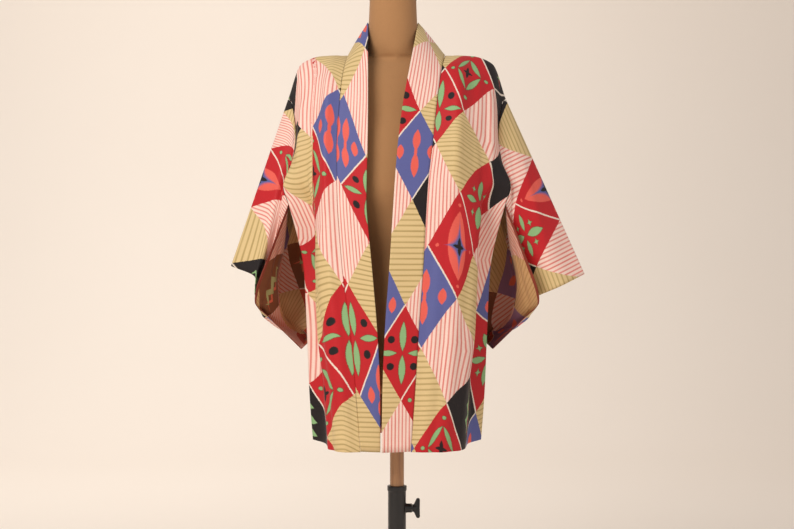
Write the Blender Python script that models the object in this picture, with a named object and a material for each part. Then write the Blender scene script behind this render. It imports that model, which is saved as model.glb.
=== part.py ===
"""A haori (short kimono jacket) hanging open on a limbless dress form with a telescopic stand.

Metres, +Z up. The wearer's front faces -Y. The origin is on the floor, on the stand's axis.
The jacket has the pieces of its real cut: a left and a right body length, each running from the
front hem over the shoulder to the back hem, two side gussets, two sleeves and one collar band.
"""

import math
from collections import namedtuple

import bmesh
import bpy
from mathutils import Matrix, Vector

# Driving sizes of the cloth
CLOTH = 0.0012
COLLAR_CLOTH = 0.0020
SEAM_GAP = 0.0003
ARMHOLE_GAP = 0.0016
SIDE_SEAM_GAP = 0.0016
HEM_HEIGHT = 0.597
SHOULDER_HEIGHT = 1.367
NECK_CENTRE_X = -0.008
NECKLINE_DEPTH = 0.078
NECKLINE_DROP = 0.015
COLLAR_TOP = 1.433
COLLAR_ROUND_NECK = 0.0505
COLLAR_BEHIND_NECK = 0.059
SLEEVE_DROP = 0.56
ARMHOLE_DROP = 0.235
OUTER_SEAM_HALF = 0.004
BOTTOM_FOLD_HALF = 0.002

# Driving sizes of the dress form and its stand
FORM_BOTTOM = 0.700
NECK_TOP = 1.478
CAP_THICKNESS = 0.016
CAP_OVERHANG = 0.001
POLE_RADIUS = 0.014
POLE_BOTTOM = 0.210
POLE_SOCKET_TOP = 0.760
TUBE_RADIUS = 0.018
TUBE_TOP = 0.509
TUBE_BOTTOM = 0.004
CLAMP_HEIGHT = 0.463
BOSS_RADIUS = 0.009
BOSS_REACH = 0.030
SCREW_RADIUS = 0.004
SCREW_CLEARANCE = 0.0003
WING_HEIGHT = 0.040
WING_WIDTH = 0.011
WING_DEPTH = 0.016
BASE_RADIUS = 0.160
BASE_EDGE = 0.010
BASE_CROWN = 0.022
BASE_HUB_RADIUS = 0.034
FIT = 0.0003

# The finishes: colour, roughness and how metallic
FINISHES = {
    "printed_silk": ((0.55, 0.32, 0.20), 0.55, 0.0),
    "form_linen": ((0.33, 0.20, 0.10), 0.85, 0.0),
    "turned_wood": ((0.42, 0.24, 0.13), 0.50, 0.0),
    "dark_lacquer": ((0.03, 0.025, 0.025), 0.40, 0.0),
    "black_steel": ((0.03, 0.022, 0.022), 0.35, 0.6),
    "knob_plastic": ((0.015, 0.015, 0.017), 0.35, 0.0),
}

# How finely the solids are divided
STEPS_PER_ROW = 2
NECKLINE_STEPS = 6
ACROSS_PANEL = 8
ACROSS_SLEEVE = 7
FREE_STEPS = 8
ACROSS_COLLAR = 2
ACROSS_GUSSET = 4
ROUND_FORM = 28

# One row for each level of the front, from the hem up to the shoulder ridge. Widths are measured
# outwards from the stand's axis. The crest is the panel's outermost front fold, the hollow is the
# groove beside it, and the side is the side seam, or the armhole seam above the armpit.
Level = namedtuple("Level", "height middle_y crest_x crest_y crest_drop hollow_x hollow_y hollow_drop "
                            "side_x side_y side_drop")
FRONT = [
    Level(HEM_HEIGHT, -0.147, 0.128, -0.112, 0.000, 0.139, -0.060, -0.004, 0.166, -0.030, -0.008),
    Level(0.700, -0.147, 0.135, -0.110, 0.0, 0.143, -0.056, 0.0, 0.173, -0.030, 0.0),
    Level(0.820, -0.146, 0.150, -0.102, 0.0, 0.143, -0.052, 0.0, 0.178, -0.030, 0.0),
    Level(0.940, -0.143, 0.155, -0.100, 0.0, 0.145, -0.050, 0.0, 0.184, -0.032, 0.0),
    Level(1.068, -0.138, 0.160, -0.098, 0.0, 0.166, -0.060, 0.0, 0.212, -0.058, 0.0),
    Level(1.115, -0.133, 0.162, -0.094, 0.0, 0.184, -0.072, 0.0, 0.222, -0.060, 0.010),
    Level(1.170, -0.126, 0.162, -0.088, 0.0, 0.190, -0.070, 0.0, 0.205, -0.048, 0.015),
    Level(1.240, -0.110, 0.160, -0.078, 0.0, 0.190, -0.060, 0.010, 0.199, -0.032, 0.032),
    Level(1.305, -0.085, 0.156, -0.056, 0.0, 0.190, -0.040, 0.012, 0.204, -0.024, 0.053),
    Level(1.348, -0.045, 0.152, -0.027, 0.001, 0.190, -0.020, 0.014, 0.211, -0.013, 0.072),
    Level(SHOULDER_HEIGHT, 0.000, 0.150, 0.000, 0.001, 0.190, 0.000, 0.016, 0.217, 0.000, 0.086),
]
BACK = [
    Level(1.350, 0.078, 0.140, 0.040, 0.002, 0.190, 0.020, 0.014, 0.211, 0.014, 0.075),
    Level(1.300, 0.100, 0.144, 0.078, 0.0, 0.190, 0.044, 0.012, 0.204, 0.027, 0.050),
    Level(1.240, 0.112, 0.148, 0.096, 0.0, 0.190, 0.064, 0.008, 0.200, 0.040, 0.030),
    Level(1.170, 0.120, 0.150, 0.106, 0.0, 0.186, 0.080, 0.0, 0.202, 0.058, 0.015),
    Level(1.115, 0.124, 0.152, 0.110, 0.0, 0.180, 0.084, 0.0, 0.206, 0.070, 0.010),
    Level(1.068, 0.126, 0.154, 0.112, 0.0, 0.172, 0.080, 0.0, 0.204, 0.068, 0.0),
    Level(0.940, 0.128, 0.154, 0.110, 0.0, 0.150, 0.062, 0.0, 0.184, 0.040, 0.0),
    Level(0.820, 0.130, 0.152, 0.108, 0.0, 0.145, 0.058, 0.0, 0.178, 0.034, 0.0),
    Level(0.700, 0.132, 0.144, 0.110, 0.0, 0.143, 0.060, 0.0, 0.173, 0.032, 0.0),
    Level(HEM_HEIGHT, 0.134, 0.136, 0.114, 0.0, 0.140, 0.064, -0.004, 0.166, 0.032, -0.008),
]
ARMPIT_ROW = 4
GUSSET_TOP_ROW = 3
MIDDLE_SHARE = 0.45
MIDDLE_BULGE = 0.010

# The collar's two edges on each front, a row for each level of FRONT. Both are measured outwards
# on their own side, so a negative edge lies past the middle. The free edge is lifted near the neck.
CollarRow = namedtuple("CollarRow", "seam_x edge_x edge_y edge_lift")
COLLAR = {
    -1: [
        CollarRow(0.069, 0.0325, -0.149, -0.001),
        CollarRow(0.077, 0.0325, -0.151, 0.0),
        CollarRow(0.088, 0.0380, -0.151, 0.0),
        CollarRow(0.103, 0.0480, -0.148, 0.0),
        CollarRow(0.1126, 0.0590, -0.143, 0.0),
        CollarRow(0.1140, 0.0585, -0.139, 0.0),
        CollarRow(0.1150, 0.0570, -0.132, 0.001),
        CollarRow(0.1120, 0.0565, -0.114, 0.010),
        CollarRow(0.1070, 0.0570, -0.084, 0.030),
        CollarRow(0.1010, 0.0580, -0.036, 0.052),
        CollarRow(0.0976, 0.0585, 0.004, 0.066),
    ],
    1: [
        CollarRow(0.0260, -0.0275, -0.156, -0.001),
        CollarRow(0.0335, -0.0265, -0.157, 0.0),
        CollarRow(0.0410, -0.0220, -0.156, 0.0),
        CollarRow(0.0495, -0.0137, -0.151, 0.0),
        CollarRow(0.0565, -0.0055, -0.145, 0.0),
        CollarRow(0.0600, -0.0025, -0.140, 0.0),
        CollarRow(0.0670, 0.0020, -0.132, 0.001),
        CollarRow(0.0745, 0.0110, -0.114, 0.010),
        CollarRow(0.0830, 0.0260, -0.084, 0.030),
        CollarRow(0.0910, 0.0375, -0.036, 0.052),
        CollarRow(0.0960, 0.0425, 0.004, 0.066),
    ],
}

# The sleeve's free inner edge below the armhole, by its drop down the cloth from the ridge fold.
EdgePoint = namedtuple("EdgePoint", "drop x y z")
INNER_FRONT = [
    EdgePoint(0.320, 0.243, -0.068, 0.985),
    EdgePoint(0.420, 0.275, -0.060, 0.902),
    EdgePoint(0.460, 0.280, -0.040, 0.876),
    EdgePoint(0.500, 0.256, -0.010, 0.846),
    EdgePoint(SLEEVE_DROP, 0.193, 0.038, 0.780),
]
INNER_BACK = [
    EdgePoint(0.500, 0.180, 0.066, 0.798),
    EdgePoint(0.420, 0.182, 0.100, 0.870),
    EdgePoint(0.320, 0.188, 0.098, 0.980),
]
# The sleeve's outer edge: the wrist opening, then the sewn outer side below it. The first rows are
# measured from the wrist's top corner, the others from the stand's axis.
WRIST_CORNER = {-1: Vector((0.331, -0.005, 0.947)), 1: Vector((0.374, -0.005, 0.931))}
WRIST_FRONT = EdgePoint(0.070, -0.052, -0.034, -0.024)
WRIST_BACK = EdgePoint(0.070, -0.047, 0.040, -0.022)
OUTER_SIDE = [
    EdgePoint(0.150, 0.284, -0.012, 0.889),
    EdgePoint(ARMHOLE_DROP, 0.262, 0.048, 0.875),
    EdgePoint(0.340, 0.236, 0.070, 0.848),
    EdgePoint(0.450, 0.208, 0.092, 0.820),
    EdgePoint(SLEEVE_DROP, 0.186, 0.108, 0.795),
]
OUTER_BACK = EdgePoint(0.150, 0.300, 0.076, 0.897)
NEAR_WRIST_SHARE = 0.35
SLEEVE_BELLY = 0.012
BELLY_SHARE = 0.08

# The dress form, a row for each height: half its width, and its depth to the front and the back.
# Pointedness is 1 for an oval, less for a squarer outline and 2 for a straight-sided diamond.
FormRow = namedtuple("FormRow", "height half_width front back centre_x pointedness")
FORM = [
    FormRow(FORM_BOTTOM, 0.118, 0.090, 0.088, 0.0, 0.92),
    FormRow(FORM_BOTTOM + 0.010, 0.132, 0.104, 0.100, 0.0, 0.92),
    FormRow(0.770, 0.140, 0.114, 0.106, 0.0, 0.92),
    FormRow(0.850, 0.134, 0.106, 0.100, 0.0, 0.92),
    FormRow(0.950, 0.115, 0.090, 0.085, 0.0, 0.92),
    FormRow(1.030, 0.130, 0.104, 0.092, 0.0, 0.92),
    FormRow(1.100, 0.148, 0.121, 0.100, 0.0, 0.92),
    FormRow(1.180, 0.158, 0.110, 0.110, 0.0, 0.92),
    FormRow(1.240, 0.168, 0.090, 0.1108, 0.0, 1.0),
    FormRow(1.270, 0.172, 0.082, 0.102, 0.0, 1.0),
    FormRow(1.310, 0.178, 0.068, 0.074, 0.0, 0.95),
    FormRow(1.338, 0.174, 0.052, 0.055, 0.0, 1.0),
    FormRow(1.352, 0.160, 0.043, 0.046, 0.0, 1.5),
    FormRow(1.3600, 0.145, 0.043, 0.046, 0.0, 2.0),
    FormRow(1.3630, 0.066, 0.044, 0.046, -0.002, 1.2),
    FormRow(1.374, 0.0555, 0.046, 0.048, -0.006, 1.1),
    FormRow(1.390, 0.0515, 0.046, 0.048, NECK_CENTRE_X, 1.0),
    FormRow(1.430, 0.0485, 0.047, 0.048, NECK_CENTRE_X, 1.0),
    FormRow(NECK_TOP, 0.0465, 0.046, 0.046, NECK_CENTRE_X, 1.0),
]


def clear_scene():
    for old in list(bpy.data.objects):
        bpy.data.objects.remove(old)


def make_material(node_name, finish):
    """A piece's own material, in one of the finishes."""
    colour, roughness, metallic = FINISHES[finish]
    material = bpy.data.materials.new(f"{node_name}_{finish}")
    material.use_nodes = True
    shader = material.node_tree.nodes["Principled BSDF"]
    shader.inputs["Base Color"].default_value = (*colour, 1.0)
    shader.inputs["Roughness"].default_value = roughness
    shader.inputs["Metallic"].default_value = metallic
    return material


def smooth_values(values, t):
    """A curve through values at 0, 1, 2 ... that never swings past them, read at t."""
    last = len(values) - 1
    i = min(max(int(math.floor(t)), 0), last - 1)
    share = min(max(t - i, 0.0), 1.0)
    slopes = []
    for j in (i, i + 1):
        before = values[j] - values[j - 1] if j > 0 else values[j + 1] - values[j]
        after = values[j + 1] - values[j] if j < last else before
        same_way = before * after > 0
        slopes.append(2 * before * after / (before + after) if same_way else 0.0)
    a, b = values[i], values[i + 1]
    square, cube = share * share, share ** 3
    return (a * (2 * cube - 3 * square + 1) + slopes[0] * (cube - 2 * square + share)
            + b * (3 * square - 2 * cube) + slopes[1] * (cube - square))


def smooth_point(points, t):
    return Vector([smooth_values([p[axis] for p in points], t) for axis in range(3)])


def panel_columns(level, seam_x):
    """The five control points across a panel at one level, from its inner edge to its side."""
    middle_x = seam_x + (level.crest_x - seam_x) * MIDDLE_SHARE
    outward = math.copysign(1.0, level.middle_y) if abs(level.middle_y) > 0.01 else 0.0
    bulge = MIDDLE_BULGE * outward * min(1.0, abs(level.middle_y) / 0.1)
    middle_y = level.middle_y * 0.93 + level.crest_y * 0.07 + bulge * 0.5
    return [
        Vector((seam_x, level.middle_y, level.height)),
        Vector((middle_x, middle_y, level.height)),
        Vector((level.crest_x, level.crest_y, level.height - level.crest_drop)),
        Vector((level.hollow_x, level.hollow_y, level.height - level.hollow_drop)),
        Vector((level.side_x, level.side_y, level.height - level.side_drop)),
    ]


def neckline_point(turn, side):
    """The back neckline, from the shoulder (turn 0) to the centre back (turn 1)."""
    angle = turn * math.pi / 2
    shoulder_x = COLLAR[side][-1].seam_x
    return Vector((
        shoulder_x * math.cos(angle),
        NECKLINE_DEPTH * math.sin(angle),
        SHOULDER_HEIGHT - NECKLINE_DROP * math.sin(angle),
    ))


def panel_rows(side):
    """Control rows of a body length, from the front hem over the shoulder to the back hem."""
    front = [panel_columns(level, row.seam_x) for level, row in zip(FRONT, COLLAR[side])]
    back = [panel_columns(level, SEAM_GAP / 2) for level in BACK]
    return front + back


def panel_point(rows, side, t, across):
    """A point of a body length: t counts control rows from the front hem, across runs 0 to 1."""
    ridge = len(FRONT) - 1
    columns = [smooth_point([row[c] for row in rows], t) for c in range(1, 5)]
    if ridge < t < ridge + 1:
        inner = neckline_point(t - ridge, side)
        inner.x = max(inner.x, SEAM_GAP / 2)
    elif t <= ridge:
        inner = smooth_point([row[0] for row in rows[:ridge + 1]], t)
    else:
        inner = smooth_point([row[0] for row in rows[ridge + 1:]], t - ridge - 1)
    return smooth_point([inner, *columns], across * 4)


def row_steps(first, last):
    """Places between two control rows, closer together along the back neckline."""
    ridge = len(FRONT) - 1
    steps = [float(first)]
    for row in range(first, last):
        parts = NECKLINE_STEPS if row == ridge else STEPS_PER_ROW
        steps += [row + k / parts for k in range(1, parts + 1)]
    return steps


def mirrored(point, side):
    return Vector((point.x * side, point.y, point.z))


def cloth_object(name, points, faces, side, thickness):
    """A cloth wall around a sheet of points; side -1 mirrors it to the wearer's other side."""
    mesh = bpy.data.meshes.new(name)
    mesh.from_pydata([mirrored(p, side) for p in points], [], faces)
    mesh.update()
    made = bpy.data.objects.new(name, mesh)
    bpy.context.scene.collection.objects.link(made)
    mesh.materials.append(make_material(name, "printed_silk"))
    wall = made.modifiers.new("Wall", "SOLIDIFY")
    wall.thickness = thickness
    wall.offset = 0.0
    mesh.shade_smooth()
    return made


def grid_faces(rows, columns, closed=False):
    faces = []
    for i in range(rows if closed else rows - 1):
        for j in range(columns - 1):
            a, b = i * columns + j, (i + 1) % rows * columns + j
            faces.append((a, a + 1, b + 1, b))
    return faces


def make_body_length(name, side):
    rows = panel_rows(side)
    points = []
    steps = row_steps(0, len(rows) - 1)
    for t in steps:
        points += [panel_point(rows, side, t, c / ACROSS_PANEL) for c in range(ACROSS_PANEL + 1)]
    faces = grid_faces(len(steps), ACROSS_PANEL + 1)
    return cloth_object(name, points, faces, side, CLOTH)


def make_gusset(name, side):
    """The narrow side panel between the front's and the back's side seams, folded inwards."""
    rows = panel_rows(side)
    last = len(rows) - 1
    points = []
    steps = row_steps(0, GUSSET_TOP_ROW)
    for t in steps:
        front, back = panel_point(rows, side, t, 1.0), panel_point(rows, side, last - t, 1.0)
        front.y += SIDE_SEAM_GAP
        back.y -= SIDE_SEAM_GAP
        front.z = back.z = (front.z + back.z) / 2
        narrowing = 0.022 - 0.003 * t
        for k in range(ACROSS_GUSSET + 1):
            share = k / ACROSS_GUSSET
            point = front.lerp(back, share)
            point.x -= narrowing * math.sin(share * math.pi)
            points.append(point)
    faces = grid_faces(len(steps), ACROSS_GUSSET + 1)
    return cloth_object(name, points, faces, side, CLOTH)


def edge_vector(point):
    return Vector((point.x, point.y, point.z))


def by_drop(stations, drop):
    """The point at a drop down the cloth, on a smooth curve through stations of (drop, point)."""
    drops = [s[0] for s in stations]
    for i in range(len(drops) - 1):
        if drop <= drops[i + 1] or i == len(drops) - 2:
            share = (drop - drops[i]) / (drops[i + 1] - drops[i])
            return smooth_point([s[1] for s in stations], i + min(max(share, 0.0), 1.0))


def outer_stations(side, facing):
    """Stations down the outer edge on the front (facing -1) or the back (facing 1)."""
    corner = WRIST_CORNER[side]
    near, far = (WRIST_FRONT, OUTER_SIDE[0]) if facing < 0 else (WRIST_BACK, OUTER_BACK)
    stations = [(0.0, corner), (near.drop, corner + edge_vector(near)), (far.drop, edge_vector(far))]
    if facing > 0:
        stations[2][1].x -= (WRIST_CORNER[1].x - corner.x) * NEAR_WRIST_SHARE
    return stations + [(p.drop, edge_vector(p)) for p in OUTER_SIDE[1:]]


def sleeve_loop(side):
    """Stations round the sleeve: (drop, facing, inner point, outer point), from the bottom up the
    front layer, over the ridge fold and down the back layer to the bottom again."""
    rows = panel_rows(side)
    ridge = len(FRONT) - 1
    last = len(rows) - 1
    steps = row_steps(ARMPIT_ROW, last - ARMPIT_ROW)
    armhole = [panel_point(rows, side, t, 1.0) for t in steps]
    lengths = [0.0]
    for a, b in zip(armhole, armhole[1:]):
        lengths.append(lengths[-1] + (b - a).length)
    top = steps.index(ridge)
    front_scale = ARMHOLE_DROP / lengths[top]
    back_scale = ARMHOLE_DROP / (lengths[-1] - lengths[top])
    inner_front = [(ARMHOLE_DROP, armhole[0])] + [(p.drop, edge_vector(p)) for p in INNER_FRONT]
    bottom = INNER_FRONT[-1]
    inner_back = ([(ARMHOLE_DROP, armhole[-1])]
                  + [(p.drop, edge_vector(p)) for p in reversed(INNER_BACK)]
                  + [(bottom.drop, edge_vector(bottom))])
    free = SLEEVE_DROP - ARMHOLE_DROP
    loop = []
    for k in range(FREE_STEPS):
        drop = SLEEVE_DROP - free * k / FREE_STEPS
        loop.append((drop, -1, by_drop(inner_front, drop)))
    for k, point in enumerate(armhole):
        facing = -1 if k < top else 1
        scale = front_scale if k < top else back_scale
        loop.append((abs(lengths[top] - lengths[k]) * scale, facing, point))
    for k in range(1, FREE_STEPS + 1):
        drop = ARMHOLE_DROP + free * k / FREE_STEPS
        loop.append((drop, 1, by_drop(inner_back, drop)))
    outer = {facing: outer_stations(side, facing) for facing in (-1, 1)}
    return [(d, f, inner, by_drop(outer[f], d)) for d, f, inner in loop]


def between_layers(loop, k):
    """The direction square to the sewn outer side that parts this layer from the other one."""
    last = len(loop) - 1
    k = min(max(k, 1), last - 1)
    inner, outer = loop[k][2], loop[k][3]
    other_inner = loop[last - k][2]
    along_side = loop[k + 1][3] - loop[k - 1][3]
    across = outer - (inner + other_inner) / 2
    square = along_side.cross(across).normalized()
    return square if square.dot(inner - other_inner) > 0 else -square


def make_sleeve(name, side):
    loop = sleeve_loop(side)
    columns = ACROSS_SLEEVE + 1
    points = []
    for k, (drop, facing, inner, outer) in enumerate(loop):
        above_bottom = min(1.0, (SLEEVE_DROP - drop) / 0.05)
        half = BOTTOM_FOLD_HALF + (OUTER_SEAM_HALF - BOTTOM_FOLD_HALF) * above_bottom
        sewn = min(1.0, drop / ARMHOLE_DROP)
        layer_way = Vector((0, facing, 0)).lerp(between_layers(loop, k), sewn)
        outer = outer + layer_way * half * sewn
        start = inner + layer_way * BOTTOM_FOLD_HALF * (1 - above_bottom)
        if drop <= ARMHOLE_DROP + 1e-6:
            seam_way = (loop[(k + 1) % len(loop)][2] - loop[k - 1][2]).normalized()
            along = outer - inner
            away = (along - seam_way * along.dot(seam_way)).normalized()
            start = inner + away * ARMHOLE_GAP
        spread = min(1.0, drop / 0.10)
        for c in range(columns):
            share = c / ACROSS_SLEEVE
            point = start.lerp(outer, share)
            belly = min(SLEEVE_BELLY, (outer - start).length * BELLY_SHARE)
            belly *= math.sin(share * math.pi) * spread * above_bottom
            points.append(point + layer_way * belly)
    faces = grid_faces(len(loop), columns, closed=True)
    edge = columns - 1
    for a in range(FREE_STEPS):
        b = a + 1
        mate_a, mate_b = len(loop) - 1 - a, len(loop) - 1 - b
        faces.append((a * columns + edge, mate_a * columns + edge,
                      mate_b * columns + edge, b * columns + edge))
    return cloth_object(name, points, faces, side, CLOTH)


def collar_front_edges(side, t):
    """(seam point, free edge point) of the band on one front at control row t, in world places."""
    rows = COLLAR[side]
    seam = Vector((
        smooth_values([r.seam_x for r in rows], t),
        smooth_values([level.middle_y for level in FRONT], t),
        smooth_values([level.height for level in FRONT], t),
    ))
    free = Vector((
        smooth_values([r.edge_x for r in rows], t),
        smooth_values([r.edge_y for r in rows], t),
        smooth_values([level.height + r.edge_lift for level, r in zip(FRONT, rows)], t),
    ))
    return mirrored(seam, side), mirrored(free, side)


def collar_back_edges(turn):
    """The same behind the neck, from the wearer's one shoulder (turn 0) to the other (turn 1)."""
    angle = turn * math.pi
    side = -1 if turn < 0.5 else 1
    seam = mirrored(neckline_point(1 - abs(1 - 2 * turn), side), side)
    free = Vector((
        NECK_CENTRE_X - COLLAR_ROUND_NECK * math.cos(angle),
        0.004 + COLLAR_BEHIND_NECK * math.sin(angle),
        COLLAR_TOP,
    ))
    return seam, free


def make_collar(name):
    last = len(FRONT) - 1
    stations = [(*collar_front_edges(-1, t), SEAM_GAP) for t in row_steps(0, last)]
    around = 12
    for k in range(1, around):
        stations.append((*collar_back_edges(k / around), CLOTH))
    stations += [(*collar_front_edges(1, t), SEAM_GAP) for t in reversed(row_steps(0, last))]
    front_count = last * STEPS_PER_ROW
    points = []
    for k, (seam, free, gap) in enumerate(stations):
        from_end = min(k, len(stations) - 1 - k)
        lifted = min(1.0, max(0.0, (from_end - 0.6 * front_count) / (0.4 * front_count)))
        along = (free - seam).normalized()
        start = seam + along * (gap + (CLOTH + SEAM_GAP) * lifted)
        for c in range(ACROSS_COLLAR + 1):
            points.append(start.lerp(free, c / ACROSS_COLLAR))
    faces = grid_faces(len(stations), ACROSS_COLLAR + 1)
    return cloth_object(name, points, faces, 1, COLLAR_CLOTH)


def lathe_object(name, profile, segments, finish=None):
    """A solid turned about Z from (radius, height) pairs that run from the axis to the axis."""
    bm = bmesh.new()
    rings = []
    for radius, height in profile:
        if radius == 0:
            rings.append([bm.verts.new((0, 0, height))])
            continue
        turns = [2 * math.pi * k / segments for k in range(segments)]
        rings.append([bm.verts.new((radius * math.cos(a), radius * math.sin(a), height))
                      for a in turns])
    for low, high in zip(rings, rings[1:]):
        for k in range(segments):
            n = (k + 1) % segments
            corners = [low[k % len(low)], low[n % len(low)], high[n % len(high)], high[k % len(high)]]
            corners = list(dict.fromkeys(corners))
            if len(corners) > 2:
                bm.faces.new(corners)
    return finished(bm, name, finish)


def finished(bm, name, finish, sharp_angle=0.6):
    bmesh.ops.recalc_face_normals(bm, faces=bm.faces)
    mesh = bpy.data.meshes.new(name)
    bm.to_mesh(mesh)
    bm.free()
    made = bpy.data.objects.new(name, mesh)
    bpy.context.scene.collection.objects.link(made)
    if finish:
        mesh.materials.append(make_material(name, finish))
    mesh.shade_smooth()
    mesh.set_sharp_from_angle(angle=sharp_angle)
    return made


def rounded_power(value, power):
    return math.copysign(abs(value) ** power, value)


def make_form():
    bm = bmesh.new()
    rings = []
    for row in FORM:
        ring = []
        for k in range(ROUND_FORM):
            angle = 2 * math.pi * k / ROUND_FORM
            depth = row.back if math.sin(angle) > 0 else row.front
            ring.append(bm.verts.new((
                row.centre_x + row.half_width * rounded_power(math.cos(angle), row.pointedness),
                depth * rounded_power(math.sin(angle), row.pointedness),
                row.height,
            )))
        rings.append(ring)
    bmesh.ops.contextual_create(bm, geom=rings[0])
    bmesh.ops.contextual_create(bm, geom=rings[-1])
    for low, high in zip(rings, rings[1:]):
        for k in range(ROUND_FORM):
            n = (k + 1) % ROUND_FORM
            bm.faces.new((low[k], low[n], high[n], high[k]))
    form = finished(bm, "dress_form", "form_linen", sharp_angle=1.0)
    socket = cylinder_object("pole_socket_cutter", POLE_RADIUS + FIT, FORM_BOTTOM - 0.01,
                             POLE_SOCKET_TOP + FIT, 20)
    cut(form, socket)
    return form


def cylinder_object(name, radius, low, high, segments):
    return lathe_object(name, [(0, low), (radius, low), (radius, high), (0, high)], segments)


def cut(target, cutter, operation="DIFFERENCE"):
    cutter.hide_render = True
    cutter.display_type = "WIRE"
    boolean = target.modifiers.new(cutter.name, "BOOLEAN")
    boolean.operation = operation
    boolean.object = cutter


def make_neck_cap():
    radius = FORM[-1].half_width + CAP_OVERHANG
    low = NECK_TOP + SEAM_GAP
    profile = [(0, low), (radius - 0.001, low), (radius, low + 0.002), (radius, low + 0.010),
               (radius - 0.004, low + CAP_THICKNESS - 0.001), (radius - 0.014, low + CAP_THICKNESS),
               (0, low + CAP_THICKNESS)]
    cap = lathe_object("neck_cap", profile, ROUND_FORM, "dark_lacquer")
    cap.location.x = NECK_CENTRE_X
    return cap


def make_pole():
    edge = 0.001
    profile = [(0, POLE_BOTTOM), (POLE_RADIUS - edge, POLE_BOTTOM), (POLE_RADIUS, POLE_BOTTOM + edge),
               (POLE_RADIUS, POLE_SOCKET_TOP), (0, POLE_SOCKET_TOP)]
    return lathe_object("pole", profile, 20, "turned_wood")


def make_tube():
    """The stand's steel tube with its rolled top edge and the threaded boss of its clamp screw."""
    bore = POLE_RADIUS + FIT
    lip = TUBE_RADIUS + 0.0015
    profile = [(bore, TUBE_BOTTOM), (TUBE_RADIUS, TUBE_BOTTOM), (TUBE_RADIUS, TUBE_TOP - 0.012),
               (lip, TUBE_TOP - 0.010), (lip, TUBE_TOP - 0.002), (TUBE_RADIUS, TUBE_TOP),
               (bore, TUBE_TOP), (bore, TUBE_BOTTOM)]
    segments = 24
    bm = bmesh.new()
    rings = []
    for radius, height in profile[:-1]:
        turns = [2 * math.pi * k / segments for k in range(segments)]
        rings.append([bm.verts.new((radius * math.cos(a), radius * math.sin(a), height))
                      for a in turns])
    for low, high in zip(rings, rings[1:] + rings[:1]):
        for k in range(segments):
            n = (k + 1) % segments
            bm.faces.new((low[k], low[n], high[n], high[k]))
    tube = finished(bm, "stand_tube", "black_steel")
    sideways = Matrix.Translation((0, 0, CLAMP_HEIGHT)) @ Matrix.Rotation(math.pi / 2, 4, "Y")
    boss = cylinder_object("boss_cutter", BOSS_RADIUS, POLE_RADIUS + 0.002, BOSS_REACH, 20)
    hole = cylinder_object("screw_hole_cutter", SCREW_RADIUS + SCREW_CLEARANCE, POLE_RADIUS - 0.004,
                           BOSS_REACH + 0.01, 16)
    for cutter, operation in ((boss, "UNION"), (hole, "DIFFERENCE")):
        cutter.data.transform(sideways)
        cut(tube, cutter, operation)
    return tube


def make_knob():
    """The clamp's wing screw: its origin is on the screw's axis, which lies along X."""
    start = POLE_RADIUS + 2 * FIT
    hub = BOSS_REACH + SCREW_CLEARANCE
    profile = [(0, start), (SCREW_RADIUS, start), (SCREW_RADIUS, hub), (0.0075, hub),
               (0.0065, hub + 0.006), (0.005, hub + 0.010), (0, hub + 0.010)]
    knob = lathe_object("clamp_knob", profile, 16, "knob_plastic")
    knob.data.transform(Matrix.Rotation(math.pi / 2, 4, "Y"))
    knob.location.z = CLAMP_HEIGHT
    bm = bmesh.new()
    half = WING_HEIGHT / 2
    outline = [(0.0, -0.006), (WING_DEPTH * 0.45, -half * 0.75), (WING_DEPTH * 0.85, -half),
               (WING_DEPTH, -half * 0.8), (WING_DEPTH * 0.75, -0.004), (WING_DEPTH * 0.75, 0.004),
               (WING_DEPTH, half * 0.8), (WING_DEPTH * 0.85, half), (WING_DEPTH * 0.45, half * 0.75),
               (0.0, 0.006)]
    wing_start = hub + 0.004
    verts = [bm.verts.new((wing_start + x, -WING_WIDTH / 4, z)) for x, z in outline]
    face = bm.faces.new(verts)
    grown = bmesh.ops.extrude_face_region(bm, geom=[face])
    moved = [v for v in grown["geom"] if isinstance(v, bmesh.types.BMVert)]
    bmesh.ops.translate(bm, verts=moved, vec=(0, WING_WIDTH / 2, 0))
    wing = finished(bm, "wing_cutter", None)
    wing.location.z = CLAMP_HEIGHT
    cut(knob, wing, "UNION")
    return knob


def make_base():
    """A plain round foot, crowned towards the hub that holds the tube."""
    bore = TUBE_RADIUS + FIT
    profile = [(0, 0), (BASE_RADIUS - 0.003, 0), (BASE_RADIUS, 0.003), (BASE_RADIUS, BASE_EDGE - 0.002),
               (BASE_RADIUS - 0.003, BASE_EDGE), (BASE_HUB_RADIUS * 2, BASE_EDGE + 0.003),
               (BASE_HUB_RADIUS, BASE_CROWN), (bore + 0.004, BASE_CROWN + 0.008),
               (bore, BASE_CROWN + 0.008), (bore, TUBE_BOTTOM - FIT), (0, TUBE_BOTTOM - FIT)]
    return lathe_object("stand_base", profile, 40, "black_steel")


def main():
    clear_scene()
    for name, side in (("left", 1), ("right", -1)):
        make_body_length(f"body_length_{name}", side)
        make_gusset(f"side_gusset_{name}", side)
        make_sleeve(f"sleeve_{name}", side)
    make_collar("collar_band")
    make_form()
    make_neck_cap()
    make_pole()
    make_tube()
    make_knob()
    make_base()


main()
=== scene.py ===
"""The looks of a haori, a short kimono jacket, hanging open on a limbless dress form with a stand.

Metres, +Z up, the wearer's front facing -Y. Cloth coordinates are u across the cloth and v down
it from the shoulder fold, so v is above 0 on the front and below 0 on the back.
"""

import math
from collections import namedtuple

import bmesh
import bpy
import numpy as np
from mathutils import Matrix, Vector, noise


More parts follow.
